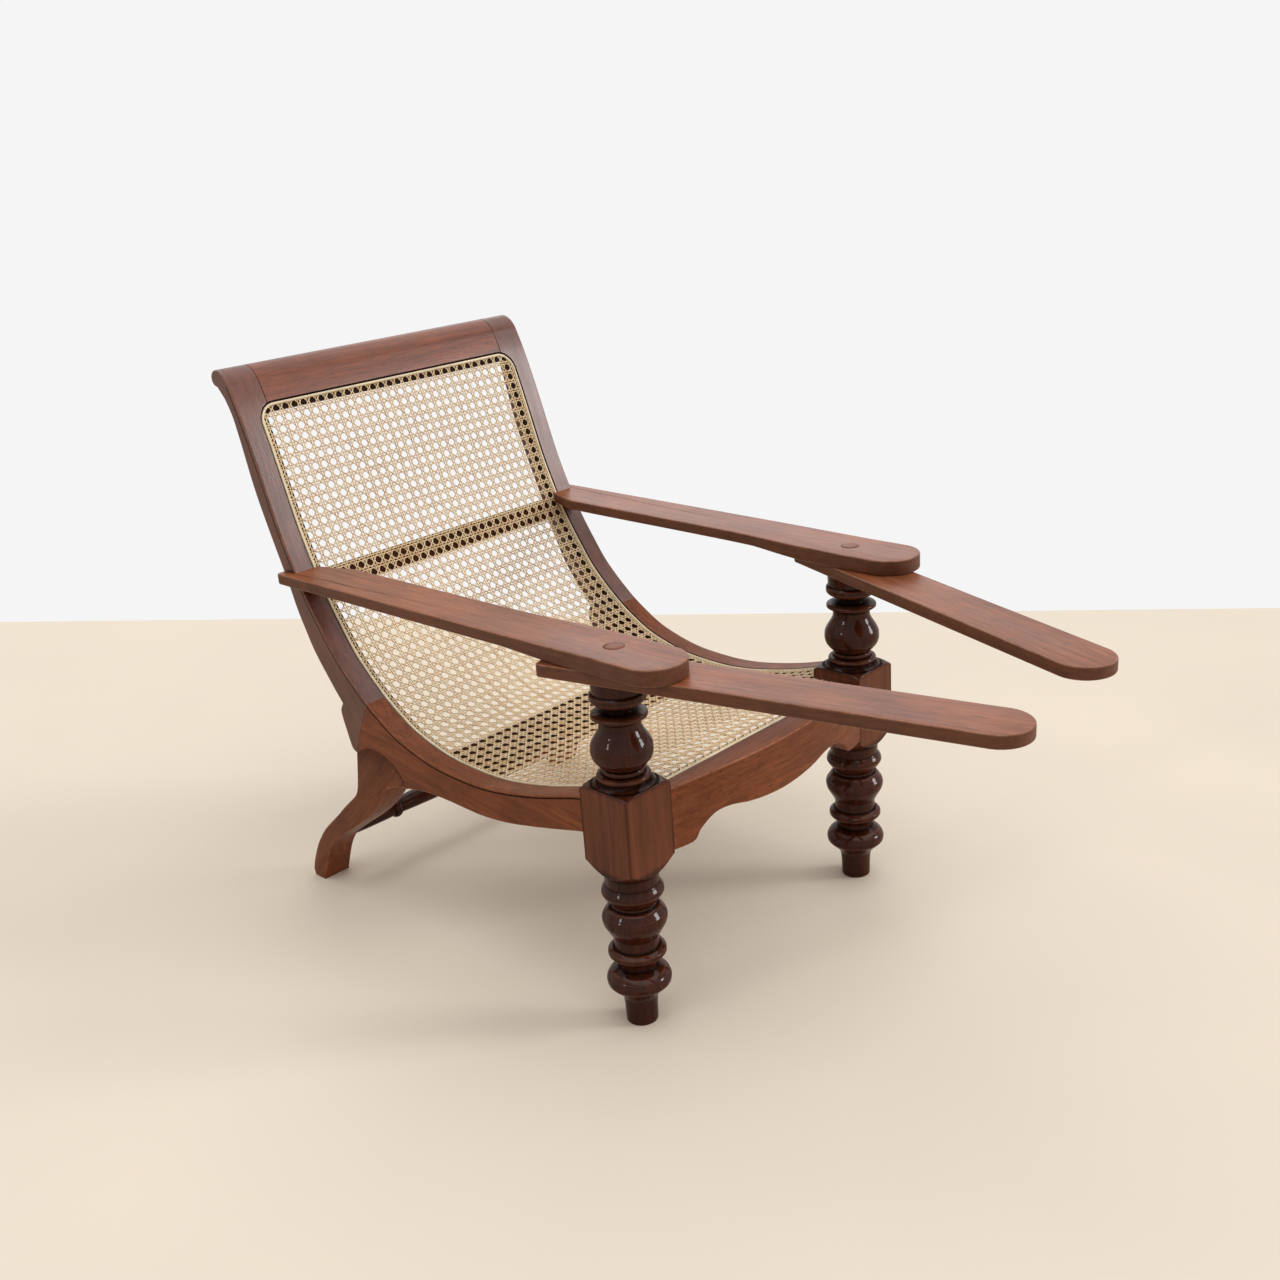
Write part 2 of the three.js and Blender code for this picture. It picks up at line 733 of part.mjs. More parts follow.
function addSideFrame({ name, sign }) {
  const bores = dowelBores(sign);
  const stileOutline = stileOutlinePoints();
  const pegBore = solidOf(pegGeometry(sign, dowelRadius + gap, pegLength + 2 * gap));
  const stileBody = join(sidePiece(stileOutline, sign), stileHead(stileOutline, sign));
  const stile = cut(stileBody, panelRecess, ...crestMortises, ...lumbarMortises, pegBore, ...bores);
  addSolid(`back_stile_${name}`, stile, frameFinish);

  const railBody = join(sidePiece(railOutlinePoints(), sign), railTenonGeometry(sign, 0));
  const rail = cut(railBody, panelRecess, ...slatMortises, ...bores);
  addSolid(`seat_rail_${name}`, rail, frameFinish);

  const legBody = sidePiece(rearLegOutlinePoints(), sign);
  const leg = cut(legBody, stretcherTenon(sign, gap), ...bores);
  addSolid(`rear_leg_${name}`, leg, frameFinish);

  dowelPlaces(sign).forEach((dowel) => {
    const geometry = dowelAt(dowel.place, dowel.direction, dowel.x, dowelRadius, dowelLength);
    addMesh(`${dowel.name}_${name}`, geometry, dowelFinish);
  });
  addMesh(`arm_peg_${name}`, pegGeometry(sign, dowelRadius, pegLength), dowelFinish);
  addArm({ name, sign }, stileOutline);
}

// Front legs

function turnedPoints(shares, fromZ, length) {
  return shares.map(([heightShare, radiusShare]) => point(
    radiusShare * halfBlock, fromZ + heightShare * length,
  ));
}

function shoulderPoints(shares, corner) {
  return shares.map(([radiusShare, riseShare]) => point(
    radiusShare * halfBlock, corner + riseShare * blockRise,
  ));
}

function addFrontLeg({ name, sign }) {
  const turningFoot = blockTop + blockRise * turningFootShare;
  const upper = turnedPoints(upperTurningShares, turningFoot, legShoulder - turningFoot);
  const lower = turnedPoints(lowerTurningShares, 0, blockFoot);
  const profile = [
    point(0, armHeight),
    point(pivotRadius, armHeight),
    point(pivotRadius, legShoulder),
    ...upper,
    ...shoulderPoints(upperShoulderShares, blockTop),
    ...shoulderPoints(lowerShoulderShares, blockFoot),
    ...lower,
    point(footRadius, 0),
    point(0, 0),
  ].reverse();
  const turning = solidOf(turned(profile, roundSides));
  const room = blockWidth;
  const squareFoot = blockFoot + lowerShoulderShares[lowerShoulderShares.length - 1][1] * blockRise;
  const squareTop = blockTop + blockRise;
  const square = box(-halfBlock, halfBlock, -halfBlock, halfBlock, squareFoot, squareTop);
  const above = box(-room, room, -room, room, turningFoot, armHeight + overrun);
  const below = box(-room, room, -room, room, -overrun, squareFoot);
  const leg = turning.intersect(join(square, above, below)).translate([sign * legAxis, 0, 0]);
  const sockets = [railTenonGeometry(sign, gap), frontTenonGeometry(sign, gap)];
  addSolid(`front_leg_${name}`, cut(leg, ...sockets), turnedFinish);
}

// Cross members

function addCrestRail() {
  const crest = crossMember(crestOutline, crestTenon, crestHalfSpan, tenonLength);
  addSolid('crest_rail', cut(crest, panelRecess), frameFinish);
}

function addFrontRail() {
  const half = legAxis - halfBlock - gap;
  const stations = Array.from({ length: 2 * arcSteps + 1 }, (_, index) => index / arcSteps - 1);
  const bowed = stations.map(
    (share) => point(share * half, -halfBlock - frontRailBow * Math.cos(share * Math.PI / 2)),
  );
  const plan = [...bowed, point(half, -frontRailBack), point(-half, -frontRailBack)];
  const lowerHalf = smooth(
    bracketShares.map(([spanShare, dropShare]) => point(
      spanShare * half, seatFrontHeight - dropShare * frontRailDrop,
    )),
    shortStations,
  );
  const mirrored = lowerHalf.slice(0, -1).reverse().map((place) => point(-place.x, place.y));
  const face = [
    ...lowerHalf, ...mirrored, point(-half, seatFrontHeight), point(half, seatFrontHeight),
  ];
  const blank = prismUp(plan, seatFrontHeight - 2 * frontRailDrop, seatFrontHeight + overrun);
  const shaped = blank.intersect(prismAlong(face, -armWidth - halfBlock, halfBlock));
  const rail = join(shaped, ...sides.map(({ sign }) => frontTenonGeometry(sign, 0)));
  addSolid('front_rail', cut(rail, panelRecess), frameFinish);
}

function addStretcher() {
  const half = innerFace - gap;
  const rightHalf = stretcherShares.map(
    ([spanShare, radiusShare]) => point(radiusShare * stretcherRadius, spanShare * half),
  );
  const leftHalf = [...rightHalf].reverse().map((place) => point(place.x, -place.y));
  const profile = [point(0, half), ...rightHalf, ...leftHalf, point(0, -half)].reverse();
  const bar = solidOf(
    new THREE.LatheGeometry(profile, roundSides)
      .rotateZ(-Math.PI / 2)
      .translate(0, stretcherReach, stretcherHeight),
  );
  const tenons = sides.map(({ sign }) => stretcherTenon(sign, 0));
  addSolid('rear_stretcher', join(bar, ...tenons), turnedFinish);
}

// Cane and its splines

// The room of a block, widened by a margin, as far as it reaches into the panel.
function blockRoom(sign, margin) {
  const near = sign * (legAxis - halfBlock - margin);
  const far = sign * (caneEdge + overrun);
  return box(
    Math.min(near, far), Math.max(near, far), -halfBlock - overrun, halfBlock + margin,
    seatLowHeight, blockTop,
  );
}

// Starts and ends of a row of equal openings with a bar before, between and after them.
function openingSpans(from, to, count, bar) {
  const opening = (to - from - (count + 1) * bar) / count;
  return Array.from({ length: count }, (_, index) => {
    const start = from + bar + index * (opening + bar);
    return [start, start + opening];
  });
}

// The open weave, as a plain grid of openings along and across the seat line.
function caneOpenings(margin) {
  const edge = caneEdge - margin;
  const fromShare = shareAtReach(-caneFront + margin);
  const toShare = shareAtHeight(panelTopHeight - margin);
  const barShare = caneBarWidth / seatLine.getLength();
  const rows = openingSpans(fromShare, toShare, caneOpeningsAlong, barShare).map(
    ([start, end]) => prismAcross(band(start, end, overrun, -overrun), -edge, edge),
  );
  const columns = openingSpans(-edge, edge, caneOpeningsAcross, caneBarWidth).map(
    ([start, end]) => box(start, end, -halfBlock, backReach, 0, overallHeight),
  );
  const grid = join(...rows).intersect(join(...columns));
  return cut(grid, ...sides.map(({ sign }) => blockRoom(sign, splineMargin + caneBarWidth)));
}

function addCane() {
  const margin = splineMargin + splineWidth + gap;
  const sheet = panelSheet(margin, caneUnderside + caneThickness, caneUnderside);
  const notches = sides.map(({ sign }) => blockRoom(sign, splineMargin));
  addSolid('cane_panel', cut(sheet, ...notches, caneOpenings(margin)), caneFinish);
}

function addSplines() {
  const splineTop = caneUnderside + splineThickness;
  const outer = caneEdge - splineMargin;
  const inner = outer - splineWidth;
  const cornerHeight = panelTopHeight - panelCornerRadius;
  const sideShares = [shareAtReach(railStart + splineMargin), shareAtHeight(cornerHeight - gap)];
  sides.forEach(({ name, sign }) => {
    const outline = band(...sideShares, splineTop, caneUnderside);
    addSolid(`cane_spline_${name}`, prismAcross(outline, sign * inner, sign * outer), splineFinish);
  });
  const frontReach = splineMargin - caneFront;
  const frontSpan = legAxis - halfBlock - splineMargin;
  addSolid('cane_spline_front', box(
    -frontSpan, frontSpan, frontReach, frontReach + splineWidth,
    seatFrontHeight + caneUnderside, seatFrontHeight + splineTop,
  ), splineFinish);
  const hoop = [
    ...panelCorner(1, panelCornerRadius - splineMargin),
    ...panelCorner(-1, panelCornerRadius - splineMargin).reverse(),
    ...panelCorner(-1, panelCornerRadius - splineMargin - splineWidth),
    ...panelCorner(1, panelCornerRadius - splineMargin - splineWidth).reverse(),
  ];
  const ring = prismAlong(hoop, backReach / 2, backReach + overrun);
  const hoopShares = [shareAtHeight(cornerHeight - overrun), shareAtHeight(panelTopHeight + overrun)];
  const layer = prismAcross(
    band(...hoopShares, splineTop, caneUnderside), -caneEdge, caneEdge,
  );
  addSolid('cane_spline_top', ring.intersect(layer), splineFinish);
}

// Leg-rest boards

function boardOutline() {
  const half = boardWidth / 2;
  const tip = arc(point(0, half - boardLength), half, -Math.PI, 0, 2 * arcSteps);
  const tailEnd = boardTail - boardTailCorner;
  const side = half - boardTailCorner;
  return [
    ...tip,
    ...arc(point(side, tailEnd), boardTailCorner, 0, Math.PI / 2, arcSteps / 2),
    ...arc(point(-side, tailEnd), boardTailCorner, Math.PI / 2, Math.PI, arcSteps / 2),
  ];
}

function addBoard({ name, sign }) {
  const boreRadius = pivotRadius + pivotClearance;
  const board = cut(
    prismUp(boardOutline(), boardUnderside, boardTop),
    solidOf(
      cylinder(boreRadius, boardThickness + 2 * overrun, roundSides)
        .rotateX(Math.PI / 2)
        .translate(0, 0, boardUnderside + boardThickness / 2),
    ),
  );
  const angle = sign > 0 ? -leftBoardAngle : rightBoardAngle;
  const mesh = addSolid(`leg_rest_board_${name}`, board, armFinish);
  mesh.position.x = sign * legAxis;
  mesh.rotation.z = THREE.MathUtils.degToRad(angle);
}

sides.forEach(addSideFrame);
sides.forEach(addFrontLeg);
addCrestRail();
addFrontRail();
addSolid('lumbar_rail', crossMember(lumbarOutline, lumbarTenon, innerFace, tenonLength), frameFinish);
addSolid('seat_slat', crossMember(slatOutline, slatTenon, innerFace, tenonLength), frameFinish);
addStretcher();
addCane();
addSplines();
sides.forEach(addBoard);

const chair = new THREE.Group();
chair.add(...meshes);
chair.updateMatrixWorld(true);
const middle = new THREE.Box3().setFromObject(chair, true).getCenter(new THREE.Vector3());
chair.position.set(-middle.x, -middle.y, 0);
chair.updateMatrixWorld(true);

export default chair;
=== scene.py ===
"""Looks of the planters chair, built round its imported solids.

Sizes are millimetres about the chair's own datum: the middle of the line between the two front leg
axes, on the floor, with the chair facing -Y and the sitter's left at +X. Each piece is written in
metres in the row frame.
"""
import logging
import math
from dataclasses import dataclass, field
from enum import Enum

import bpy
import numpy as np
from mathutils import Matrix, Vector


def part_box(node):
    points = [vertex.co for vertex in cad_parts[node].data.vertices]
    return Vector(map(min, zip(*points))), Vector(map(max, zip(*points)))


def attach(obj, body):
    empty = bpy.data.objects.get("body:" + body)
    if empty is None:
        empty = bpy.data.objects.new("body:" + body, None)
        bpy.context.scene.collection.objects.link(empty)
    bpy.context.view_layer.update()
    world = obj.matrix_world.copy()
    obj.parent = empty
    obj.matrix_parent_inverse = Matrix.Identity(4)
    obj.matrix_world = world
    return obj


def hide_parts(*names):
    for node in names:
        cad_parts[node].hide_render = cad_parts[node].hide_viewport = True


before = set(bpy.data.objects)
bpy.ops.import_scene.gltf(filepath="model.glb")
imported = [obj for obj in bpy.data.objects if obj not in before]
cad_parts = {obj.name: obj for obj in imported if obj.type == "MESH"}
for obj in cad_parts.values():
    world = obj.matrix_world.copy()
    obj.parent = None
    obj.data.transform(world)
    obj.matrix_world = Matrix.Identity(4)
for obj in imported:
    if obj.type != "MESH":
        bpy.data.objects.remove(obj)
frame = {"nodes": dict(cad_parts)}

log = logging.getLogger("planters_chair")
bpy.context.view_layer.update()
MM_PER_METRE = 1000.0
TINY = 1e-6

Triple = tuple[float, float, float]


class Body(Enum):
    """The bodies that pieces ride on."""

    FRAME = "frame"
    LEFT_REST = "leg_rest_left"
    RIGHT_REST = "leg_rest_right"


class Slot(Enum):
    """The material slots of the record."""

    FRAME = "frame_wood"
    ARM = "arm_wood"
    TURNED = "turned_wood"
    CANE = "cane"
    SPLINE = "spline"
    DOWEL = "dowel_wood"


class Side(Enum):
    """The two sides of the chair, by the sign of X."""

    LEFT = 1
    RIGHT = -1

    @property
    def word(self) -> str:
        """The side's name in the CAD nodes."""
        return "left" if self is Side.LEFT else "right"

    @property
    def rest(self) -> Body:
        """The body of the leg-rest board on this side."""
        return Body.LEFT_REST if self is Side.LEFT else Body.RIGHT_REST


# Curves

CURVE_STEPS = 24
MITRE_LIMIT = 0.5
DOUBLED = 0.05
QUARTER_TURN = np.radians(np.linspace(0.0, 90.0, 6))


def smoothstep(value: np.ndarray) -> np.ndarray:
    """0 below 0, 1 above 1, and 3t^2 - 2t^3 between."""
    held = np.clip(value, 0.0, 1.0)
    return held * held * (3.0 - 2.0 * held)


def soft_least(first: np.ndarray, second: np.ndarray, blend: float) -> np.ndarray:
    """The lesser of two lengths, rounded where they meet: -b ln(exp(-first / b) + exp(-second / b))."""
    return -blend * np.logaddexp(-first / blend, -second / blend)


def even_steps(points: np.ndarray, count: int) -> np.ndarray:
    """Points at even lengths along a polyline.

    Args:
        points: The polyline, one point per row.
        count: How many points to return.

    Returns:
        The points, with both ends kept.
    """
    steps = np.linalg.norm(np.diff(points, axis=0), axis=1)
    run = np.concatenate([[0.0], np.cumsum(steps)])
    at = np.linspace(0.0, run[-1], count)
    return np.stack([np.interp(at, run, column) for column in points.T], axis=1)


def through(points: np.ndarray, count: int) -> np.ndarray:
    """A smooth curve through points, at even lengths.

    Between two neighbours the curve is the cubic that has at each of them half the vector from the
    point before it to the point after it; the end points count twice.

    Args:
        points: The points that the curve passes.
        count: How many points to return.

    Returns:
        The points on the curve.
    """
    points = np.asarray(points, float)
    last = len(points) - 1
    at = np.linspace(0.0, last, CURVE_STEPS * last + 1)
    low = np.minimum(at.astype(int), last - 1)
    t = (at - low)[:, None]
    start, end = points[low], points[low + 1]
    leaving = (end - points[np.maximum(low - 1, 0)]) / 2.0
    arriving = (points[np.minimum(low + 2, last)] - start) / 2.0
    bend = (2.0 * start - 2.0 * end + leaving + arriving) * t**3
    turn = (3.0 * end - 3.0 * start - 2.0 * leaving - arriving) * t**2
    return even_steps(bend + turn + leaving * t + start, count)


def monotone(heights: np.ndarray, radii: np.ndarray, at: np.ndarray) -> np.ndarray:
    """A turned profile: radius against height, smooth and never past its given points.

    The slope at a point is the harmonic mean of the slopes beside it, and zero where they differ in
    sign; between points it is the cubic with those slopes.

    Args:
        heights: Rising heights.
        radii: The radius at each height.
        at: The heights to read.

    Returns:
        The radius at each of them.
    """
    step = np.diff(heights)
    slope = np.diff(radii) / step
    product = slope[1:] * slope[:-1]
    total = slope[1:] + slope[:-1]
    inner = np.divide(2.0 * product, total, out=np.zeros_like(product), where=product > 0.0)
    lean = np.concatenate([[slope[0]], inner, [slope[-1]]])
    low = np.clip(np.searchsorted(heights, at, side="right") - 1, 0, len(heights) - 2)
    width = step[low]
    t = (at - heights[low]) / width
    start, end = radii[low], radii[low + 1]
    a = (2.0 * t**3 - 3.0 * t**2 + 1.0) * start + (3.0 * t**2 - 2.0 * t**3) * end
    b = (t**3 - 2.0 * t**2 + t) * width * lean[low] + (t**3 - t**2) * width * lean[low + 1]
    return a + b


def arc(centre: tuple[float, float], radius: float, start: float, end: float, count: int) -> np.ndarray:
    """Points round a circle, from one angle in degrees to another."""
    turn = np.radians(np.linspace(start, end, count))
    return np.stack([centre[0] + radius * np.cos(turn), centre[1] + radius * np.sin(turn)], axis=1)


def inward(ring: np.ndarray) -> np.ndarray:
    """The direction into a closed outline at each of its points.

    The two edges at a point give their mean direction, turned a quarter turn to the inside and
    lengthened so that both edges move in by the same distance.

    Args:
        ring: The outline, one (a, b) point per row, not repeated at the end.

    Returns:
        One vector per point.
    """
    before = ring - np.roll(ring, 1, axis=0)
    after = np.roll(ring, -1, axis=0) - ring
    before /= np.linalg.norm(before, axis=1, keepdims=True)
    after /= np.linalg.norm(after, axis=1, keepdims=True)
    mean = before + after
    mean /= np.maximum(np.linalg.norm(mean, axis=1, keepdims=True), TINY)
    following = np.roll(ring, -1, axis=0)
    area = np.sum(ring[:, 0] * following[:, 1] - following[:, 0] * ring[:, 1])
    turn = math.copysign(1.0, area)
    normal = np.stack([-mean[:, 1], mean[:, 0]], axis=1) * turn
    edge = np.stack([-before[:, 1], before[:, 0]], axis=1) * turn
    return normal / np.maximum(np.sum(normal * edge, axis=1, keepdims=True), MITRE_LIMIT)


def apart(ring: np.ndarray) -> np.ndarray:
    """Which points of a closed outline stand clear of the point before them."""
    return np.linalg.norm(ring - np.roll(ring, 1, axis=0), axis=1) > DOUBLED


# Meshes


@dataclass(frozen=True)
class Datum:
    """The chair's own datum in the row frame, in metres."""

    x: float
    y: float

    @classmethod
    def read(cls) -> "Datum":
        """The middle between the two packed front legs.

        Returns:
            The datum, in metres.
        """
        corners = np.array([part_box(f"front_leg_{side.word}") for side in Side])
        middle = corners.mean(axis=(0, 1))
        return cls(float(middle[0]), float(middle[1]))

    def to_row(self, points: np.ndarray) -> np.ndarray:
        """Millimetres about the datum as metres in the row frame."""
        return np.asarray(points, float) / MM_PER_METRE + np.array([self.x, self.y, 0.0])


DATUM = Datum.read()
MARKS = ("edge", "crease", "tone")
SHARP_ANGLE = 35.0


def put(name: str, data: bpy.types.ID) -> bpy.types.Object:
    """A new object in the scene that holds some data, at the origin and unturned.

    Args:
        name: The object's name.
        data: A mesh, a light or a camera.

    Returns:
        The object.
    """
    made = bpy.data.objects.new(name, data)
    bpy.context.scene.collection.objects.link(made)
    return made


@dataclass
class Shell:
    """A mesh gathered from grids of points, with marks kept at each point.

    edge is 1 along a worn arris. The darkening mark is 1 where a groove, recess, side or underside is
    painted in shade, and along a dark joint line. tone is a strand's own shade, or how bare a turned
    leg's wood is.
    """

    points: list[np.ndarray] = field(default_factory=list)
    faces: list[np.ndarray] = field(default_factory=list)
    marks: dict[str, list[np.ndarray]] = field(default_factory=lambda: {name: [] for name in MARKS})
    count: int = 0

    def add_points(self, grid: np.ndarray, **marks: np.ndarray | float) -> np.ndarray:
        """Adds points.

        Args:
            grid: Points in any arrangement, (..., 3).
            marks: Values for the point marks, broadcast over the grid.

        Returns:
            The index of each point, in the same arrangement.
        """
        shape = grid.shape[:-1]
        self.points.append(grid.reshape(-1, 3))
        for name, kept in self.marks.items():
            kept.append(np.broadcast_to(marks.get(name, 0.0), shape).astype(float).ravel())
        index = self.count + np.arange(int(np.prod(shape))).reshape(shape)
        self.count += index.size
        return index

    def add_quads(
        self, index: np.ndarray, wrap_rows: bool, wrap_columns: bool, keep: np.ndarray | None = None
    ) -> None:
        """Joins neighbours in the last two directions of an index grid by four-sided faces.

        Args:
            index: Point indices, (..., rows, columns).
            wrap_rows: Whether the last row joins the first.
            wrap_columns: Whether the last column joins the first.
            keep: Which faces to keep, one value per face.
        """
        here = index if wrap_rows else index[..., :-1, :]
        below = np.roll(index, -1, axis=-2) if wrap_rows else index[..., 1:, :]
        if wrap_columns:
            quads = np.stack([here, below, np.roll(below, -1, -1), np.roll(here, -1, -1)], axis=-1)
        else:
            quads = np.stack([here[..., :-1], below[..., :-1], below[..., 1:], here[..., 1:]], axis=-1)
        self.faces.append(quads[keep] if keep is not None else quads.reshape(-1, 4))

    def add_tube(self, grid: np.ndarray, **marks: np.ndarray | float) -> None:
        """A grid closed round its columns, with a flat face over its first and its last row.

        Args:
            grid: (rows, columns, 3) points in millimetres.
            marks: Values for the points, by name.
        """
        index = self.add_points(grid, **marks)
        self.add_quads(index, False, True)
        self.faces.append(index[0][None, :])
        self.faces.append(index[-1][None, ::-1])

    def build(self, name: str, sharp_angle: float = SHARP_ANGLE) -> bpy.types.Object:
        """Writes the gathered faces to one object, with every face pointing outwards.

        Args:
            name: The object's name.
            sharp_angle: Edges that turn by more degrees than this stay sharp.

        Returns:
            The object.
        """
        corners = np.concatenate([group.reshape(-1) for group in self.faces])
        sizes = np.concatenate([np.full(len(group), group.shape[-1]) for group in self.faces])
        starts = np.concatenate([[0], np.cumsum(sizes)[:-1]])
        used, corners = np.unique(corners, return_inverse=True)
        mesh = bpy.data.meshes.new(name)
        mesh.vertices.add(len(used))
        mesh.vertices.foreach_set("co", DATUM.to_row(np.concatenate(self.points)[used]).ravel())
        mesh.loops.add(len(corners))
        mesh.loops.foreach_set("vertex_index", corners.ravel().astype(np.int32))
        mesh.polygons.add(len(sizes))
        mesh.polygons.foreach_set("loop_start", starts.astype(np.int32))
        mesh.polygons.foreach_set("use_smooth", np.ones(len(sizes), bool))
        for mark, kept in self.marks.items():
            layer = mesh.attributes.new(mark, "FLOAT", "POINT")
            layer.data.foreach_set("value", np.concatenate(kept)[used].astype(np.float32))
        mesh.update(calc_edges=True)
        if mesh.validate():
            log.warning("%s had faces that were mended", name)
        if signed_volume(mesh) < 0.0:
            mesh.flip_normals()
        mesh.set_sharp_from_angle(angle=math.radians(sharp_angle))
        return put(name, mesh)


def signed_volume(mesh: bpy.types.Mesh) -> float:
    """The volume inside a mesh, positive where its faces point outwards.

    Args:
        mesh: A closed mesh.

    Returns:
        The volume in the mesh's units, cubed.
    """
    mesh.calc_loop_triangles()
    corners = np.zeros(len(mesh.loop_triangles) * 3, np.int32)
    mesh.loop_triangles.foreach_get("vertices", corners)
    places = np.zeros(len(mesh.vertices) * 3, np.float32)
    mesh.vertices.foreach_get("co", places)
    a, b, c = np.moveaxis(places.reshape(-1, 3)[corners.reshape(-1, 3)].astype(float), 1, 0)
    return float(np.sum(a * np.cross(b, c)) / 6.0)


def dress(
    piece: bpy.types.Object, material: bpy.types.Material, node: str, body: Body = Body.FRAME
) -> None:
    """Gives a new piece its material and body, and hides the CAD node that it replaces.

    Args:
        piece: The piece, in place.
        material: Its finish.
        node: The CAD node that it replaces.
        body: The body it rides on.
    """
    piece.data.materials.append(material)
    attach(piece, body.value)
    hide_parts(node)
    triangles = len(piece.data.loops) - 2 * len(piece.data.polygons)
    log.info("%s rides on %s, %d triangles", piece.name, body.value, triangles)


# Finishes

Socket = bpy.types.NodeSocket


def opaque(colour: Triple) -> tuple[float, float, float, float]:
    """A colour with full alpha."""
    return (*colour, 1.0)


class Graph:
    """The node tree of a material or of the world."""

    def __init__(self, owner: bpy.types.Material | bpy.types.World) -> None:
        """Starts an empty tree.

        Args:
            owner: What the tree belongs to.
        """
        owner.use_nodes = True
        self.owner = owner
        self.tree = owner.node_tree
        self.tree.nodes.clear()

    def node(self, kind: str, inputs: dict | None = None, **settings: object) -> bpy.types.Node:
        """Adds a node.

        Args:
            kind: The node's type.
            inputs: A value or another node's output for each named or numbered input.
            settings: Properties of the node.

        Returns:
            The node.
        """
        made = self.tree.nodes.new(kind)
        for key, value in settings.items():
            setattr(made, key, value)
        for key, value in (inputs or {}).items():
            if isinstance(value, Socket):
                self.tree.links.new(value, made.inputs[key])
            else:
                made.inputs[key].default_value = value
        return made

    def ramp(self, factor: Socket, *stops: tuple[float, float | Triple]) -> Socket:
        """A colour ramp.

        Args:
            factor: What it reads.
            stops: Place and grey level or colour of each stop, from 0 up.

        Returns:
            The ramp's colour.
        """
        made = self.node("ShaderNodeValToRGB", {"Fac": factor})
        ramp = made.color_ramp
        while len(ramp.elements) < len(stops):
            ramp.elements.new(1.0)
        for element, (place, colour) in zip(ramp.elements, stops):
            element.position = place
            element.color = opaque(colour if isinstance(colour, tuple) else (colour,) * 3)
        return made.outputs["Color"]

    def mix(self, factor: object, first: object, second: object, blend: str = "MIX") -> Socket:
        """Mixes two colours.

        Args:
            factor: The share of the second colour.
            first: The first colour.
            second: The second colour.
            blend: How they mix.

        Returns:
            The mixed colour.
        """
        inputs = {0: factor, 6: first, 7: second}
        return self.node("ShaderNodeMix", inputs, data_type="RGBA", blend_type=blend).outputs[2]

    def noise(self, vector: Socket, scale: float, detail: float, rough: float = 0.5) -> Socket:
        """A noise value.

        Args:
            vector: Where it is read.
            scale: How many waves a metre holds.
            detail: How many finer layers it has.
            rough: How much the finer layers count.

        Returns:
            The value.
        """
        inputs = {"Vector": vector, "Scale": scale, "Detail": detail, "Roughness": rough}
        return self.node("ShaderNodeTexNoise", inputs).outputs["Fac"]

    def place(self) -> Socket:
        """The place on a piece."""
        return self.node("ShaderNodeTexCoord").outputs["Object"]

    def mark(self, name: str) -> Socket:
        """A number kept at the points of the mesh."""
        return self.node("ShaderNodeAttribute", attribute_name=name).outputs["Fac"]

    def combine(self, first: object, second: object, operation: str = "MULTIPLY") -> Socket:
        """The product of two numbers, or what another operation makes of them."""
        return self.node("ShaderNodeMath", {0: first, 1: second}, operation=operation).outputs[0]

    def relief(self, height: Socket, strength: float, distance: float) -> Socket:
        """The normal of a fine relief."""
        made = self.node("ShaderNodeBump", {"Height": height, "Strength": strength, "Distance": distance})
        return made.outputs[0]

    def surface(self, inputs: dict) -> bpy.types.Material:
        """Ends the tree in one principled surface with the given inputs.

        Args:
            inputs: Values or sockets, by the name of the input.

        Returns:
            The material.
        """
        shader = self.node("ShaderNodeBsdfPrincipled", inputs)
        self.node("ShaderNodeOutputMaterial", {"Surface": shader.outputs[0]})
        return self.owner


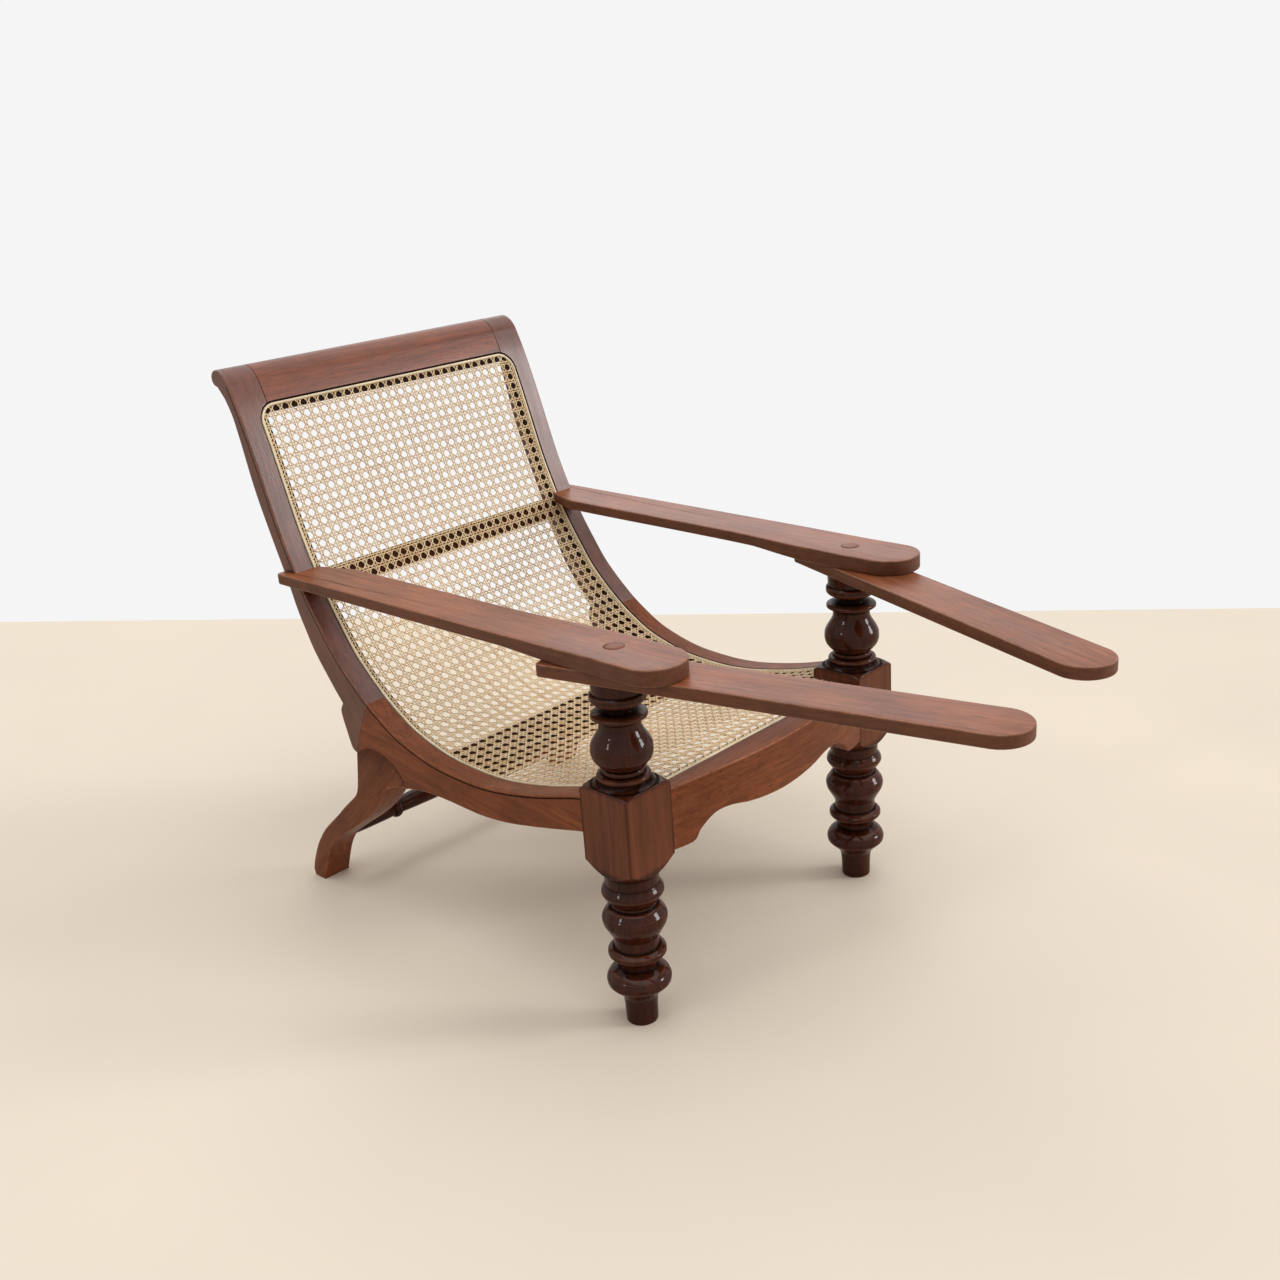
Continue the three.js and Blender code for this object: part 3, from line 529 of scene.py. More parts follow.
@dataclass(frozen=True)
class Wood:
    """An old oiled hardwood: streaks and short pores along the grain, worn arrises, painted shade in grooves.

    Each table of stops gives places on a noise and the grey level there. Each noise is its scale,
    its finer layers and how much they count, and the layers of streaks and pores go without scale.
    """

    name: str
    light: Triple
    middle: Triple
    dark: Triple
    worn: Triple
    roughness: tuple[float, float] = (0.34, 0.5)
    coat: float = 0.0
    coat_roughness: float = 0.28
    streak_scale: float = 105.0
    pore_scale: float = 700.0
    # share of the dark colour used for painted shade in grooves and recesses and for dark joint lines
    grime: float = 0.1
    gloss: float = 0.4
    grain_stretch: float = 0.055
    swirl_scale: float = 9.0
    swirl_bend: float = 0.03
    swirl_layers: float = 3.0
    pore_shade: float = 0.45
    streak_layers: tuple[float, float] = (6.0, 0.66)
    pore_layers: tuple[float, float] = (2.0, 0.6)
    patch_noise: Triple = (7.0, 4.0, 0.6)
    wear_noise: Triple = (38.0, 4.0, 0.7)
    polish_noise: Triple = (24.0, 4.0, 0.6)
    polish_places: tuple[float, float] = (0.3, 0.7)
    body_places: Triple = (0.24, 0.5, 0.76)
    pore_stops: tuple = ((0.54, 0.0), (0.68, 0.62))
    patch_stops: tuple = ((0.3, 0.72), (0.7, 1.2))
    bare_stops: tuple = ((0.25, 0.6), (0.75, 1.35))
    wear_stops: tuple = ((0.36, 0.15), (0.62, 0.95))
    bare_roughness: float = 0.5
    streak_relief: float = 0.6
    relief_strength: float = 0.25
    relief_depth: float = 0.0006

    def along(self, g: Graph, place: Socket, grain: Triple) -> Socket:
        """Coordinates drawn out along the grain.

        They are turned so that the grain lies along their Z and shrunk along it, so that a noise
        becomes streaks, and a slow noise bends them sideways.

        Args:
            g: The tree.
            place: The coordinates of the piece.
            grain: The direction of the grain.

        Returns:
            The coordinates.
        """
        turn = Vector(grain).rotation_difference(Vector((0.0, 0.0, 1.0))).to_euler()
        drawn = place
        for inputs in ({"Rotation": turn}, {"Scale": (1.0, 1.0, self.grain_stretch)}):
            drawn = g.node("ShaderNodeMapping", {"Vector": drawn, **inputs}).outputs[0]
        swirl = g.noise(drawn, self.swirl_scale, self.swirl_layers)
        sideways = g.node("ShaderNodeCombineXYZ", {"X": swirl, "Y": swirl}).outputs[0]
        bend = {0: sideways, "Scale": self.swirl_bend}
        bent = g.node("ShaderNodeVectorMath", bend, operation="SCALE").outputs[0]
        return g.node("ShaderNodeVectorMath", {0: drawn, 1: bent}, operation="ADD").outputs[0]

    def colour(self, g: Graph, streak: Socket, pores: Socket) -> Socket:
        """The wood's colour: streaks under broad patches, pores, bare wood, wear, painted shade, dark joints.

        Args:
            g: The tree.
            streak: The noise of the streaks.
            pores: The noise of the pores.

        Returns:
            The colour.
        """
        place = g.place()
        body = g.ramp(streak, *zip(self.body_places, (self.dark, self.middle, self.light)))
        shade = g.ramp(g.noise(place, *self.patch_noise), *self.patch_stops)
        toned = g.mix(1.0, body, shade, "MULTIPLY")
        pore_dark = opaque(tuple(self.pore_shade * c for c in self.dark))
        pored = g.mix(g.ramp(pores, *self.pore_stops), toned, pore_dark)
        bare = g.mix(1.0, opaque(self.worn), g.ramp(streak, *self.bare_stops), "MULTIPLY")
        rubbed = g.mix(g.mark("tone"), pored, bare)
        patches = g.ramp(g.noise(place, *self.wear_noise), *self.wear_stops)
        worn = g.mix(g.combine(g.mark("edge"), patches), rubbed, opaque(self.worn))
        # painted shade in grooves, recesses and on shaded sides, and dark joint lines, mixed toward a dark
        # colour
        return g.mix(g.mark("crease"), worn, opaque(tuple(self.grime * c for c in self.dark)))

    def material(self, grain: Triple, label: str = "") -> bpy.types.Material:
        """The finish with its grain along a direction.

        Args:
            grain: The direction of the grain.
            label: A word to tell this copy from others.

        Returns:
            The material.
        """
        g = Graph(bpy.data.materials.new(f"{self.name}_{label}" if label else self.name))
        bent = self.along(g, g.place(), grain)
        streak = g.noise(bent, self.streak_scale, *self.streak_layers)
        pores = g.noise(bent, self.pore_scale, *self.pore_layers)
        polish = g.ramp(g.noise(bent, *self.polish_noise), *zip(self.polish_places, self.roughness))
        dull = g.combine(polish, g.combine(g.mark("tone"), self.bare_roughness), "MAXIMUM")
        height = g.combine(pores, g.combine(streak, self.streak_relief), "ADD")
        return g.surface({
            "Base Color": self.colour(g, streak, pores),
            # where shade is painted the wood is also dulled and loses its coat
            "Roughness": g.combine(dull, g.mark("crease"), "MAXIMUM"),
            "Normal": g.relief(height, self.relief_strength, self.relief_depth),
            "Coat Weight": g.combine(g.combine(1.0, g.mark("crease"), "SUBTRACT"), self.coat),
            "Coat Roughness": self.coat_roughness,
            "Specular IOR Level": self.gloss,
        })


@dataclass(frozen=True)
class Cane:
    """Split cane: honey and cream strands that differ a little, pink in places, painted shade at the sides.
    """

    name: str = "cane_weave"
    pale: Triple = (0.9, 0.74, 0.49)
    light: Triple = (0.79, 0.57, 0.32)
    dark: Triple = (0.52, 0.28, 0.11)
    # the colour of the painted shade on the strands' sides and undersides
    side: Triple = (0.2, 0.09, 0.035)
    pink: Triple = (0.82, 0.56, 0.42)
    gloss: float = 0.3
    tone_share: float = 0.55
    blotch_share: float = 0.6
    blotch_noise: Triple = (60.0, 4.0, 0.65)
    pink_noise: tuple[float, float] = (24.0, 2.0)
    fibre_noise: tuple[float, float] = (900.0, 2.0)
    body_places: Triple = (0.25, 0.5, 0.75)
    pink_stops: tuple = ((0.45, 0.0), (0.75, 0.3))
    roughness_stops: tuple = ((0.3, 0.38), (0.7, 0.6))
    relief_strength: float = 0.2
    relief_depth: float = 0.0003

    def material(self) -> bpy.types.Material:
        """The finish of all strands.

        Returns:
            The material.
        """
        g = Graph(bpy.data.materials.new(self.name))
        place = g.place()
        blotch = g.noise(place, *self.blotch_noise)
        own = g.combine(g.mark("tone"), self.tone_share)
        both = g.combine(own, g.combine(blotch, self.blotch_share), "ADD")
        body = g.ramp(both, *zip(self.body_places, (self.dark, self.light, self.pale)))
        patches = g.ramp(g.noise(place, *self.pink_noise), *self.pink_stops)
        warm = g.mix(patches, body, opaque(self.pink))
        return g.surface({
            # painted shade on the sides and undersides of the strands
            "Base Color": g.mix(g.mark("crease"), warm, opaque(self.side)),
            "Roughness": g.ramp(blotch, *self.roughness_stops),
            "Normal": g.relief(g.noise(place, *self.fibre_noise), self.relief_strength, self.relief_depth),
            "Specular IOR Level": self.gloss,
        })


FRAME_WOOD = Wood(
    "frame_wood", (0.27, 0.082, 0.031), (0.19, 0.055, 0.021), (0.1, 0.028, 0.011), (0.34, 0.13, 0.065),
    roughness=(0.32, 0.46), gloss=0.1,
)
CREST_WOOD = Wood(
    "crest_wood", (0.25, 0.07, 0.028), (0.18, 0.048, 0.02), (0.09, 0.024, 0.0105), (0.34, 0.14, 0.08),
    roughness=(0.27, 0.37), gloss=0.3,
)
STILE_WOOD = Wood(
    "stile_wood", (0.185, 0.05, 0.023), (0.125, 0.034, 0.016), (0.066, 0.018, 0.009), (0.28, 0.12, 0.07),
    roughness=(0.26, 0.36),
)
ARM_WOOD = Wood(
    "arm_wood", (0.34, 0.108, 0.045), (0.255, 0.079, 0.032), (0.13, 0.037, 0.0155), (0.4, 0.18, 0.1),
    roughness=(0.3, 0.42), gloss=0.28, streak_scale=150.0,
)
TURNED_WOOD = Wood(
    "turned_wood", (0.082, 0.019, 0.0075), (0.045, 0.0105, 0.0044), (0.018, 0.0044, 0.0022),
    (0.25, 0.074, 0.029), roughness=(0.24, 0.36), coat=0.3, coat_roughness=0.05, gloss=0.02,
)
SPLINE_WOOD = Wood(
    "spline_reed", (0.86, 0.77, 0.58), (0.80, 0.70, 0.50), (0.66, 0.53, 0.34), (0.88, 0.8, 0.62),
    roughness=(0.45, 0.6), pore_scale=900.0,
)
DOWEL_WOOD = Wood(
    "dowel_wood", (0.30, 0.16, 0.09), (0.24, 0.12, 0.065), (0.16, 0.075, 0.04), (0.35, 0.2, 0.12),
)
CROSS_GRAIN = (1.0, 0.0, 0.0)


# The seat line and the members that follow it


@dataclass(frozen=True)
class SeatSurface:
    """The S-shaped sheet of seat and back.

    A place on it is (across, along, height): across the chair, along the line from its front end,
    and out of the wood's face.
    """

    back_reach: float = 834.0
    overall_height: float = 909.0
    low_height: float = 321.0
    front_height: float = 370.0
    front_shares: tuple = (
        (-0.083, 1), (-0.024, 1), (0.024, 1), (0.062, 0.945), (0.108, 0.735),
        (0.156, 0.5), (0.21, 0.286), (0.264, 0.116), (0.314, 0.02),
    )
    back_shares: tuple = (
        (0.36, 1), (0.432, 1.005), (0.489, 1.019), (0.553, 1.047), (0.6, 1.082), (0.653, 1.134),
        (0.717, 1.218), (0.76, 1.3), (0.8, 1.389), (0.83, 1.474), (0.856, 1.56), (0.877, 1.645),
        (0.897, 1.73), (0.918, 1.815), (0.941, 1.9), (0.96, 1.959),
    )
    samples: int = 1500

    def level(self, shares: tuple) -> np.ndarray:
        """(y, z) of shares of the reach and level: 0 is the floor, 1 the seat's low point, 2 the top.

        Args:
            shares: Pairs of a share of the reach and a level.

        Returns:
            (n, 2) places in millimetres.
        """
        reach, level = np.array(shares, float).T
        below = np.minimum(level, 1.0) * self.low_height
        above = np.maximum(level - 1.0, 0.0) * (self.overall_height - self.low_height)
        return np.stack([reach * self.back_reach, below + above], axis=1)

    def line(self) -> np.ndarray:
        """The seat line as many even steps of (y, z).

        Returns:
            (samples, 2) places in millimetres, from the front to the top.
        """
        reach, rise = np.array(self.front_shares, float).T
        heights = self.low_height + rise * (self.front_height - self.low_height)
        front = np.stack([reach * self.back_reach, heights], axis=1)
        return through(np.concatenate([front, self.level(self.back_shares)]), self.samples)

    def place(self, across: np.ndarray, along: np.ndarray, height: np.ndarray) -> np.ndarray:
        """Points of the sheet.

        The point at a length along the line is moved out along the line's normal by the height, and
        set at its place across.

        Args:
            across: Place across the chair.
            along: Length along the line.
            height: Height out of the wood's face.

        Returns:
            The points, (..., 3).
        """
        across, along, height = np.broadcast_arrays(across, along, height)
        line = self.line()
        step = np.linalg.norm(line[1] - line[0])
        run = np.arange(len(line)) * step
        slope = np.gradient(line, step, axis=0)
        slope /= np.linalg.norm(slope, axis=1, keepdims=True)
        y, z, ty, tz = (np.interp(along, run, column) for column in (*line.T, *slope.T))
        return np.stack([across, y - height * tz, z + height * ty], axis=-1)

    @property
    def length(self) -> float:
        """The length of the line."""
        return float(np.sum(np.linalg.norm(np.diff(self.line(), axis=0), axis=1)))

    def at_reach(self, reach: np.ndarray | float) -> np.ndarray:
        """The length along the line at which it reaches a y."""
        line = self.line()
        return np.interp(reach, line[:, 0], np.linspace(0.0, self.length, len(line)))

    def at_height(self, height: np.ndarray | float) -> np.ndarray:
        """The length along the line at which the back reaches a height.

        Args:
            height: One height or many.

        Returns:
            The length for each height.
        """
        line = self.line()
        back = line[:, 0] > self.back_reach / 2.0
        return np.interp(height, line[back, 1], np.linspace(0.0, self.length, len(line))[back])

    def stretch(self, start: float, end: float, spacing: float, height: float = 0.0) -> np.ndarray:
        """(y, z) points along the line between two lengths."""
        along = np.linspace(start, end, max(2, int(abs(end - start) / spacing) + 1))
        return self.place(np.zeros_like(along), along, np.full_like(along, height))[:, 1:]


SEAT = SeatSurface()


@dataclass(frozen=True)
class CaneOpening:
    """The rebate that holds the cane: its edge, depth and round upper corners."""

    edge: float = 280.0
    top_height: float = 851.0
    front: float = -23.0
    corner: float = 34.0
    depth: float = 4.0
    blend: float = 0.8

    def inside(self, across: np.ndarray, height: np.ndarray) -> np.ndarray:
        """How far a place lies inside the rounded edge: the corner's radius less the way to its centre.

        Args:
            across: Places across the chair.
            height: Their heights.

        Returns:
            The distance, below zero outside.
        """
        qx = np.abs(across) - (self.edge - self.corner)
        qz = height - (self.top_height - self.corner)
        round_part = np.hypot(np.maximum(qx, 0.0), np.maximum(qz, 0.0))
        return self.corner - round_part - np.minimum(np.maximum(qx, qz), 0.0)

    def sink(self, across: np.ndarray, height: np.ndarray) -> np.ndarray:
        """The rebate's depth at a place on the face, in full a little way inside its edge."""
        return self.depth * smoothstep(self.inside(across, height) / self.blend + 0.5)


OPENING = CaneOpening()


@dataclass(frozen=True)
class Outline:
    """A closed outline of a sawn member in (y, z), with what each point is.

    face is 1 on the seat line, where the rebate and the bead are cut, and radius is how far the
    arris is eased at each point.
    """

    points: np.ndarray
    face: np.ndarray
    radius: np.ndarray

    @classmethod
    def join(cls, parts: list[tuple[np.ndarray, bool, float]]) -> "Outline":
        """Joins stretches of outline into one ring.

        Args:
            parts: Points, whether they are on the seat line, and the arris radius of each stretch.

        Returns:
            The outline, without doubled points.
        """
        points = np.concatenate([part[0] for part in parts])
        face = np.concatenate([np.full(len(part[0]), float(part[1])) for part in parts])
        radius = np.concatenate([np.full(len(part[0]), part[2]) for part in parts])
        keep = apart(points)
        return cls(points[keep], face[keep], radius[keep])

    def lean(self, corner: int, beyond: int, least_drop: float = 0.3) -> float:
        """How far an end edge runs along the seat line for each millimetre that it goes into the wood.

        Args:
            corner: The point where the seat line ends.
            beyond: The next point, on the end edge.
            least_drop: The share of its length by which an end edge goes down at least.

        Returns:
            The ratio, or zero where the outline goes on smoothly.
        """
        along = float(SEAT.at_reach(self.points[corner, 0]))
        base, tip = SEAT.place(np.zeros(2), np.full(2, along), np.array([0.0, 1.0]))[:, 1:]
        normal = tip - base
        edge = self.points[beyond] - self.points[corner]
        down = -float(edge @ normal)
        forward = float(edge @ np.array([normal[1], -normal[0]]))
        return forward / down if down > least_drop * float(np.linalg.norm(edge)) else 0.0

    def sunk(self, depth: np.ndarray, slide: float = 40.0) -> np.ndarray:
        """The outline moved in by a depth at each point.

        Off the seat line a point moves along the direction into the outline. On it the point sinks
        along the line's normal, and near an end of the line it slides too, so that the sunk line
        still ends on the end edge.

        Args:
            depth: One depth per point, or rows of them.
            slide: The length near an end over which points slide.

        Returns:
            The moved (y, z) points.
        """
        moved = self.points + inward(self.points) * depth[..., None]
        line = self.face > 0.5
        if not line.any():
            return moved
        along = SEAT.at_reach(self.points[:, 0])
        first, last = np.flatnonzero(line)[[0, -1]]
        start = self.lean(first, first - 1) * np.clip(1.0 - np.abs(along - along[first]) / slide, 0.0, 1.0)
        end = self.lean(last, last + 1) * np.clip(1.0 - np.abs(along - along[last]) / slide, 0.0, 1.0)
        sunk = SEAT.place(0.0 * depth, along + (start + end) * depth, -depth)[..., 1:]
        return np.where(line[:, None], sunk, moved)


@dataclass(frozen=True)
class SawnMember:
    """A member sawn to an outline and set upright across the chair, with eased arrises.

    The ring of the outline is carried across from the outer face to the inner one. At each level a
    point moves into the outline by the easing of the arris (radius less its sine), by the rebate's
    depth on the seat line, and by the rings of the bead's groove on the outer face. Above the
    head's foot the member reaches further in, up to the head's own face.
    """

    outline: Outline
    outer: float
    inner: float
    sign: int = 1
    bead: bool = False
    rebate: bool = False
    fine: float = 6.0
    head_face: float | None = None
    head_foot: float = 832.0
    middle: float = 272.0
    joint_easing: float = 0.4
    joint_dark: float = 0.55
    rebate_shade: float = 0.97
    rebate_step: float = 0.4
    outer_levels: int = 5
    plain_levels: int = 6
    # each bead ring: depth into the outline, drop from the outer face, and painted shade in the groove
    bead_rings: tuple = ((7.0, 0.0, 0.0), (6.4, 0.0, 0.35), (5.9, 1.2, 1.0), (4.9, 1.4, 1.0), (4.4, 0.2, 0.6))

    @property
    def on_head(self) -> np.ndarray:
        """Which points of the outline lie on the head."""
        above = self.outline.points[:, 1] > self.head_foot
        return above if self.head_face is not None else np.zeros(len(above), bool)

    def levels(self) -> np.ndarray:
        """Places across the chair between the two easings, from the outer face to the inner one.

        Returns:
            The places, finer where a rebate steps down.
        """
        if not self.rebate:
            return np.linspace(self.outer, self.inner, self.plain_levels)
        edge, step = OPENING.edge, self.rebate_step
        flat = np.linspace(self.outer, edge + 3.0 * step, self.outer_levels)
        rest = np.arange(edge - 4.0 * step, self.inner, -self.fine)
        return np.concatenate([flat, edge + step * np.arange(2.0, -3.0, -1.0), rest, [self.inner]])

    def arris(self, radius: np.ndarray) -> list[tuple[np.ndarray, ...]]:
        """The rings of an eased arris, from the member's face round to its side.

        At an angle a ring lies radius (1 - cos) below the face and radius (1 - sin) inside the
        outline. A broad arris is worn most at its middle, and a joint's thin one is dark.

        Args:
            radius: How far the arris is eased at each point of the outline.

        Returns:
            Drop below the face, depth inside the outline, wear and darkness of each ring.
        """
        worn = np.clip(radius / 2.0, 0.0, 1.0)
        dark = np.where(radius < 1.0, self.joint_dark, 0.0)
        return [
            (radius * (1.0 - math.cos(a)), radius * (1.0 - math.sin(a)), math.sin(2.0 * a) * worn, dark)
            for a in QUARTER_TURN
        ]

    def add_to(self, shell: Shell) -> None:
        """Adds the member's surface to a shell.

        Args:
            shell: Where it goes.
        """
        face, radius = self.outline.face, self.outline.radius
        inner = np.where(self.on_head, self.head_face or self.inner, self.inner)
        soft = np.where(self.on_head, self.joint_easing, radius)
        none = np.zeros(len(face))
        rings = []
        if self.bead:
            # the bead's groove carries painted shade
            for depth, down, dark in self.bead_rings:
                rings.append((self.outer - down * face, np.maximum(depth * face, radius), none, dark * face))
        rings += [(self.outer - drop, *rest) for drop, *rest in self.arris(radius)]
        for x in self.levels():
            stretch = (self.middle - inner) / (self.middle - self.inner) if x < self.middle else 1.0
            across = self.middle - (self.middle - x) * stretch
            rings.append((np.clip(across, inner + soft, self.outer - radius), none, none, none))
        rings += [(inner + drop, *rest) for drop, *rest in reversed(self.arris(soft))]
        across, sink, edge, crease = np.moveaxis(np.array(rings), 1, 0)
        # the rebate's floor and wall under the cane are painted in shade
        if self.rebate:
            cut = OPENING.sink(across, self.outline.points[:, 1]) * face
            sink = sink + cut
            crease = np.maximum(crease, self.rebate_shade * smoothstep(cut))
        grid = np.concatenate([across[..., None] * self.sign, self.outline.sunk(sink)], axis=-1)
        index = shell.add_points(grid, edge=edge, crease=crease)
        shell.add_quads(index, False, True)
        shell.faces.append(index[0][None, :])
        self.close_inner(shell, index[-1])

    def close_inner(self, shell: Shell, ring: np.ndarray) -> None:
        """Closes the inner end: the face below the head, the step under the head and the head's face.

        Args:
            shell: Where the faces go.
            ring: The indices of the last ring.
        """
        head = np.flatnonzero(self.on_head)
        if not len(head):
            shell.faces.append(ring[None, ::-1])
            return
        first, last = head[0], head[-1]
        shell.faces.append(np.concatenate([ring[:first], ring[last + 1:]])[None, ::-1])
        shell.faces.append(ring[[first - 1, first, last, last + 1]][None, ::-1])
        shell.faces.append(ring[head][None, ::-1])


BACK_POINTS = 160
TAIL_POINTS = 50
SCARF_POINTS = 30
JOINT_POINTS = 60
LEG_POINTS = 120
UNDERSIDE_POINTS = 140
SWELL_POINTS = 16
ROLL_POINTS = 28


@dataclass(frozen=True)
class SideFrame:
    """One side frame: back stile with its scrolled end, seat rail and sabre rear leg."""

    side: Side
    outer: float = 315.0
    thickness: float = 53.0
    rail_start: float = 45.3
    rail_depth: float = 53.0
    scroll_radius: float = 14.0
    shoulder: float = 257.3
    head_height: float = 833.0
    scarf_top: float = 0.64
    easing: float = 2.6
    joint_easing: float = 0.5
    sole_easing: float = 1.0
    spacing: float = 3.0
    corner_spacing: float = 0.9
    corner_below: float = 4.0
    corner_above: float = 2.0
    stile_back: tuple = (
        (0.98, 1.922), (0.969, 1.895), (0.96, 1.867), (0.949, 1.813), (0.939, 1.757),
        (0.929, 1.701), (0.917, 1.646), (0.903, 1.592), (0.888, 1.537), (0.872, 1.481),
        (0.853, 1.412), (0.836, 1.342), (0.818, 1.287), (0.799, 1.233), (0.773, 1.18), (0.745, 1.128),
    )
    tail: tuple = (
        (0.725, 1.094), (0.734, 1.071), (0.731, 1.041), (0.725, 1.012), (0.719, 0.969),
        (0.712, 0.925), (0.699, 0.907),
    )
    scarf: tuple = ((0.689, 0.96), (0.677, 1.024), (0.659, 1.071))
    joint: tuple = (
        (0.699, 0.907), (0.669, 0.953), (0.64, 0.969), (0.609, 0.956), (0.58, 0.925),
        (0.561, 0.879), (0.546, 0.816),
    )
    leg_inner: tuple = (
        (0.546, 0.816), (0.566, 0.807), (0.588, 0.791), (0.612, 0.766), (0.626, 0.717),
        (0.651, 0.642), (0.686, 0.555), (0.727, 0.474), (0.766, 0.405), (0.797, 0.349),
        (0.83, 0.287), (0.851, 0.227), (0.866, 0.162), (0.88, 0.078), (0.892, 0),
    )
    leg_outer: tuple = (
        (0.926, 0), (0.93, 0.019), (0.93, 0.047), (0.922, 0.103), (0.911, 0.162), (0.897, 0.224),
        (0.881, 0.28), (0.861, 0.34), (0.833, 0.405), (0.802, 0.474), (0.776, 0.536), (0.745, 0.604),
        (0.727, 0.648), (0.717, 0.698), (0.709, 0.794),
    )
    underside: tuple = (
        (0.065, 1.08), (0.12, 1.05), (0.19, 1.01), (0.26, 1), (0.33, 0.98), (0.42, 0.98), (0.485, 1.16),
    )

    @property
    def inner(self) -> float:
        """The inner face of the frame."""
        return self.outer - self.thickness

    def scroll(self) -> np.ndarray:
        """The swell from the line's end over the roll, in (y, z).

        The swell is a cubic that leaves along the line and arrives level at the top of the roll.

        Returns:
            The points.
        """
        line = SEAT.line()
        end = line[-1]
        along = (line[-1] - line[-2]) / np.linalg.norm(line[-1] - line[-2])
        top = np.array([SEAT.back_reach, SEAT.overall_height])
        t = np.linspace(0.0, 1.0, SWELL_POINTS)[:, None]
        lead, arrive = end + along * self.scroll_radius, top - np.array([self.scroll_radius, 0.0])
        swell = (1 - t) ** 3 * end + 3 * (1 - t) ** 2 * t * lead + 3 * (1 - t) * t**2 * arrive + t**3 * top
        roll = arc((top[0], top[1] - self.scroll_radius), self.scroll_radius, 90.0, -90.0, ROLL_POINTS)
        return np.concatenate([swell, roll[1:]])

    def head_parts(self, start: float, back: np.ndarray) -> list[tuple[np.ndarray, bool, float]]:
        """The stretches of outline round a head: up the line, over the scroll and down the back.

        Args:
            start: The length along the line where they start.
            back: The back line, downwards.

        Returns:
            The stretches as Outline.join takes them.
        """
        corner = float(SEAT.at_height(OPENING.top_height - OPENING.corner - self.corner_below))
        close = float(SEAT.at_height(OPENING.top_height + self.corner_above))
        lines = [
            SEAT.stretch(max(start, corner), close, self.corner_spacing),
            SEAT.stretch(close, SEAT.length, self.spacing),
        ]
        if start < corner:
            lines.insert(0, SEAT.stretch(start, corner, self.spacing))
        parts = [(line, True, self.easing) for line in lines]
        return [*parts, (self.scroll()[1:], False, self.easing), (back, False, self.easing)]

    def stile_outline(self) -> Outline:
        """The stile's outline, from the scarf up the line, over the scroll and down its back.

        Returns:
            The closed outline.
        """
        back = through(SEAT.level(self.stile_back), BACK_POINTS)
        tail = through(SEAT.level(self.tail), TAIL_POINTS)
        scarf = even_steps(SEAT.level(self.scarf), SCARF_POINTS)
        start = SEAT.at_reach(self.scarf_top * SEAT.back_reach)
        parts = self.head_parts(start, back)
        return Outline.join([*parts, (tail, False, self.easing), (scarf, False, self.joint_easing)])

    def rail_outline(self) -> Outline:
        """The seat rail's outline, along the line, down the scarf and joint and back underneath.

        Returns:
            The closed outline.
        """
        start, end = SEAT.at_reach(self.rail_start), SEAT.at_reach(self.scarf_top * SEAT.back_reach)
        top = SEAT.stretch(start, end, self.spacing)
        scarf = even_steps(SEAT.level(self.scarf)[::-1], SCARF_POINTS)
        joint = through(SEAT.level(self.joint), JOINT_POINTS)
        reach, depth = np.array(self.underside[::-1]).T
        above = SEAT.place(0.0, SEAT.at_reach(reach * SEAT.back_reach), 0.0)[:, 1:]
        below = above - np.stack([np.zeros_like(depth), depth * self.rail_depth], axis=1)
        first = np.array([[self.rail_start, top[0, 1] - self.underside[0][1] * self.rail_depth]])
        lower = through(np.concatenate([joint[-1:], below, first]), UNDERSIDE_POINTS)
        return Outline.join([
            (top, True, self.easing), (scarf, False, self.joint_easing), (joint, False, self.joint_easing),
            (lower[1:], False, self.easing),
        ])

    def leg_outline(self) -> Outline:
        """The rear leg's outline, along the joint, down its front, under the sole and up its back.

        Returns:
            The closed outline.
        """
        joint = through(SEAT.level(self.joint), JOINT_POINTS)
        inner = through(SEAT.level(self.leg_inner), LEG_POINTS)
        outer = through(SEAT.level(self.leg_outer), LEG_POINTS)
        sole = np.concatenate([inner[-1:], outer[:1]])
        return Outline.join([
            (joint, False, self.joint_easing), (inner[1:-1], False, self.easing),
            (sole, False, self.sole_easing), (outer[1:], False, self.easing),
        ])

    def chord(self, points: np.ndarray) -> Triple:
        """The direction between the two furthest points of an outline, which its grain follows.

        Args:
            points: (n, 2) places of (y, z).

        Returns:
            The direction, not of unit length.
        """
        far = points[np.argmax(np.linalg.norm(points - points.mean(axis=0), axis=1))]
        other = points[np.argmax(np.linalg.norm(points - far, axis=1))]
        return (0.0, float(far[0] - other[0]), float(far[1] - other[1]))

    def build(self) -> None:
        """Builds and dresses the three members."""
        stile, rail, leg = self.stile_outline(), self.rail_outline(), self.leg_outline()
        rail_grain = (0.0, 1.0, 0.1)
        bead = {"bead": True, "rebate": True}
        head = {**bead, "fine": 1.0, "head_face": self.shoulder}
        for name, node, outline, cut, wood, grain in (
            ("stile", "back_stile", stile, head, STILE_WOOD, self.chord(stile.points)),
            ("side_rail", "seat_rail", rail, bead, FRAME_WOOD, rail_grain),
            ("sabre_leg", "rear_leg", leg, {}, FRAME_WOOD, self.chord(leg.points)),
        ):
            label = f"{name}_{self.side.word}"
            shell = Shell()
            SawnMember(outline, self.outer, self.inner, self.side.value, **cut).add_to(shell)
            dress(shell.build(label), wood.material(grain, label), f"{node}_{self.side.word}")


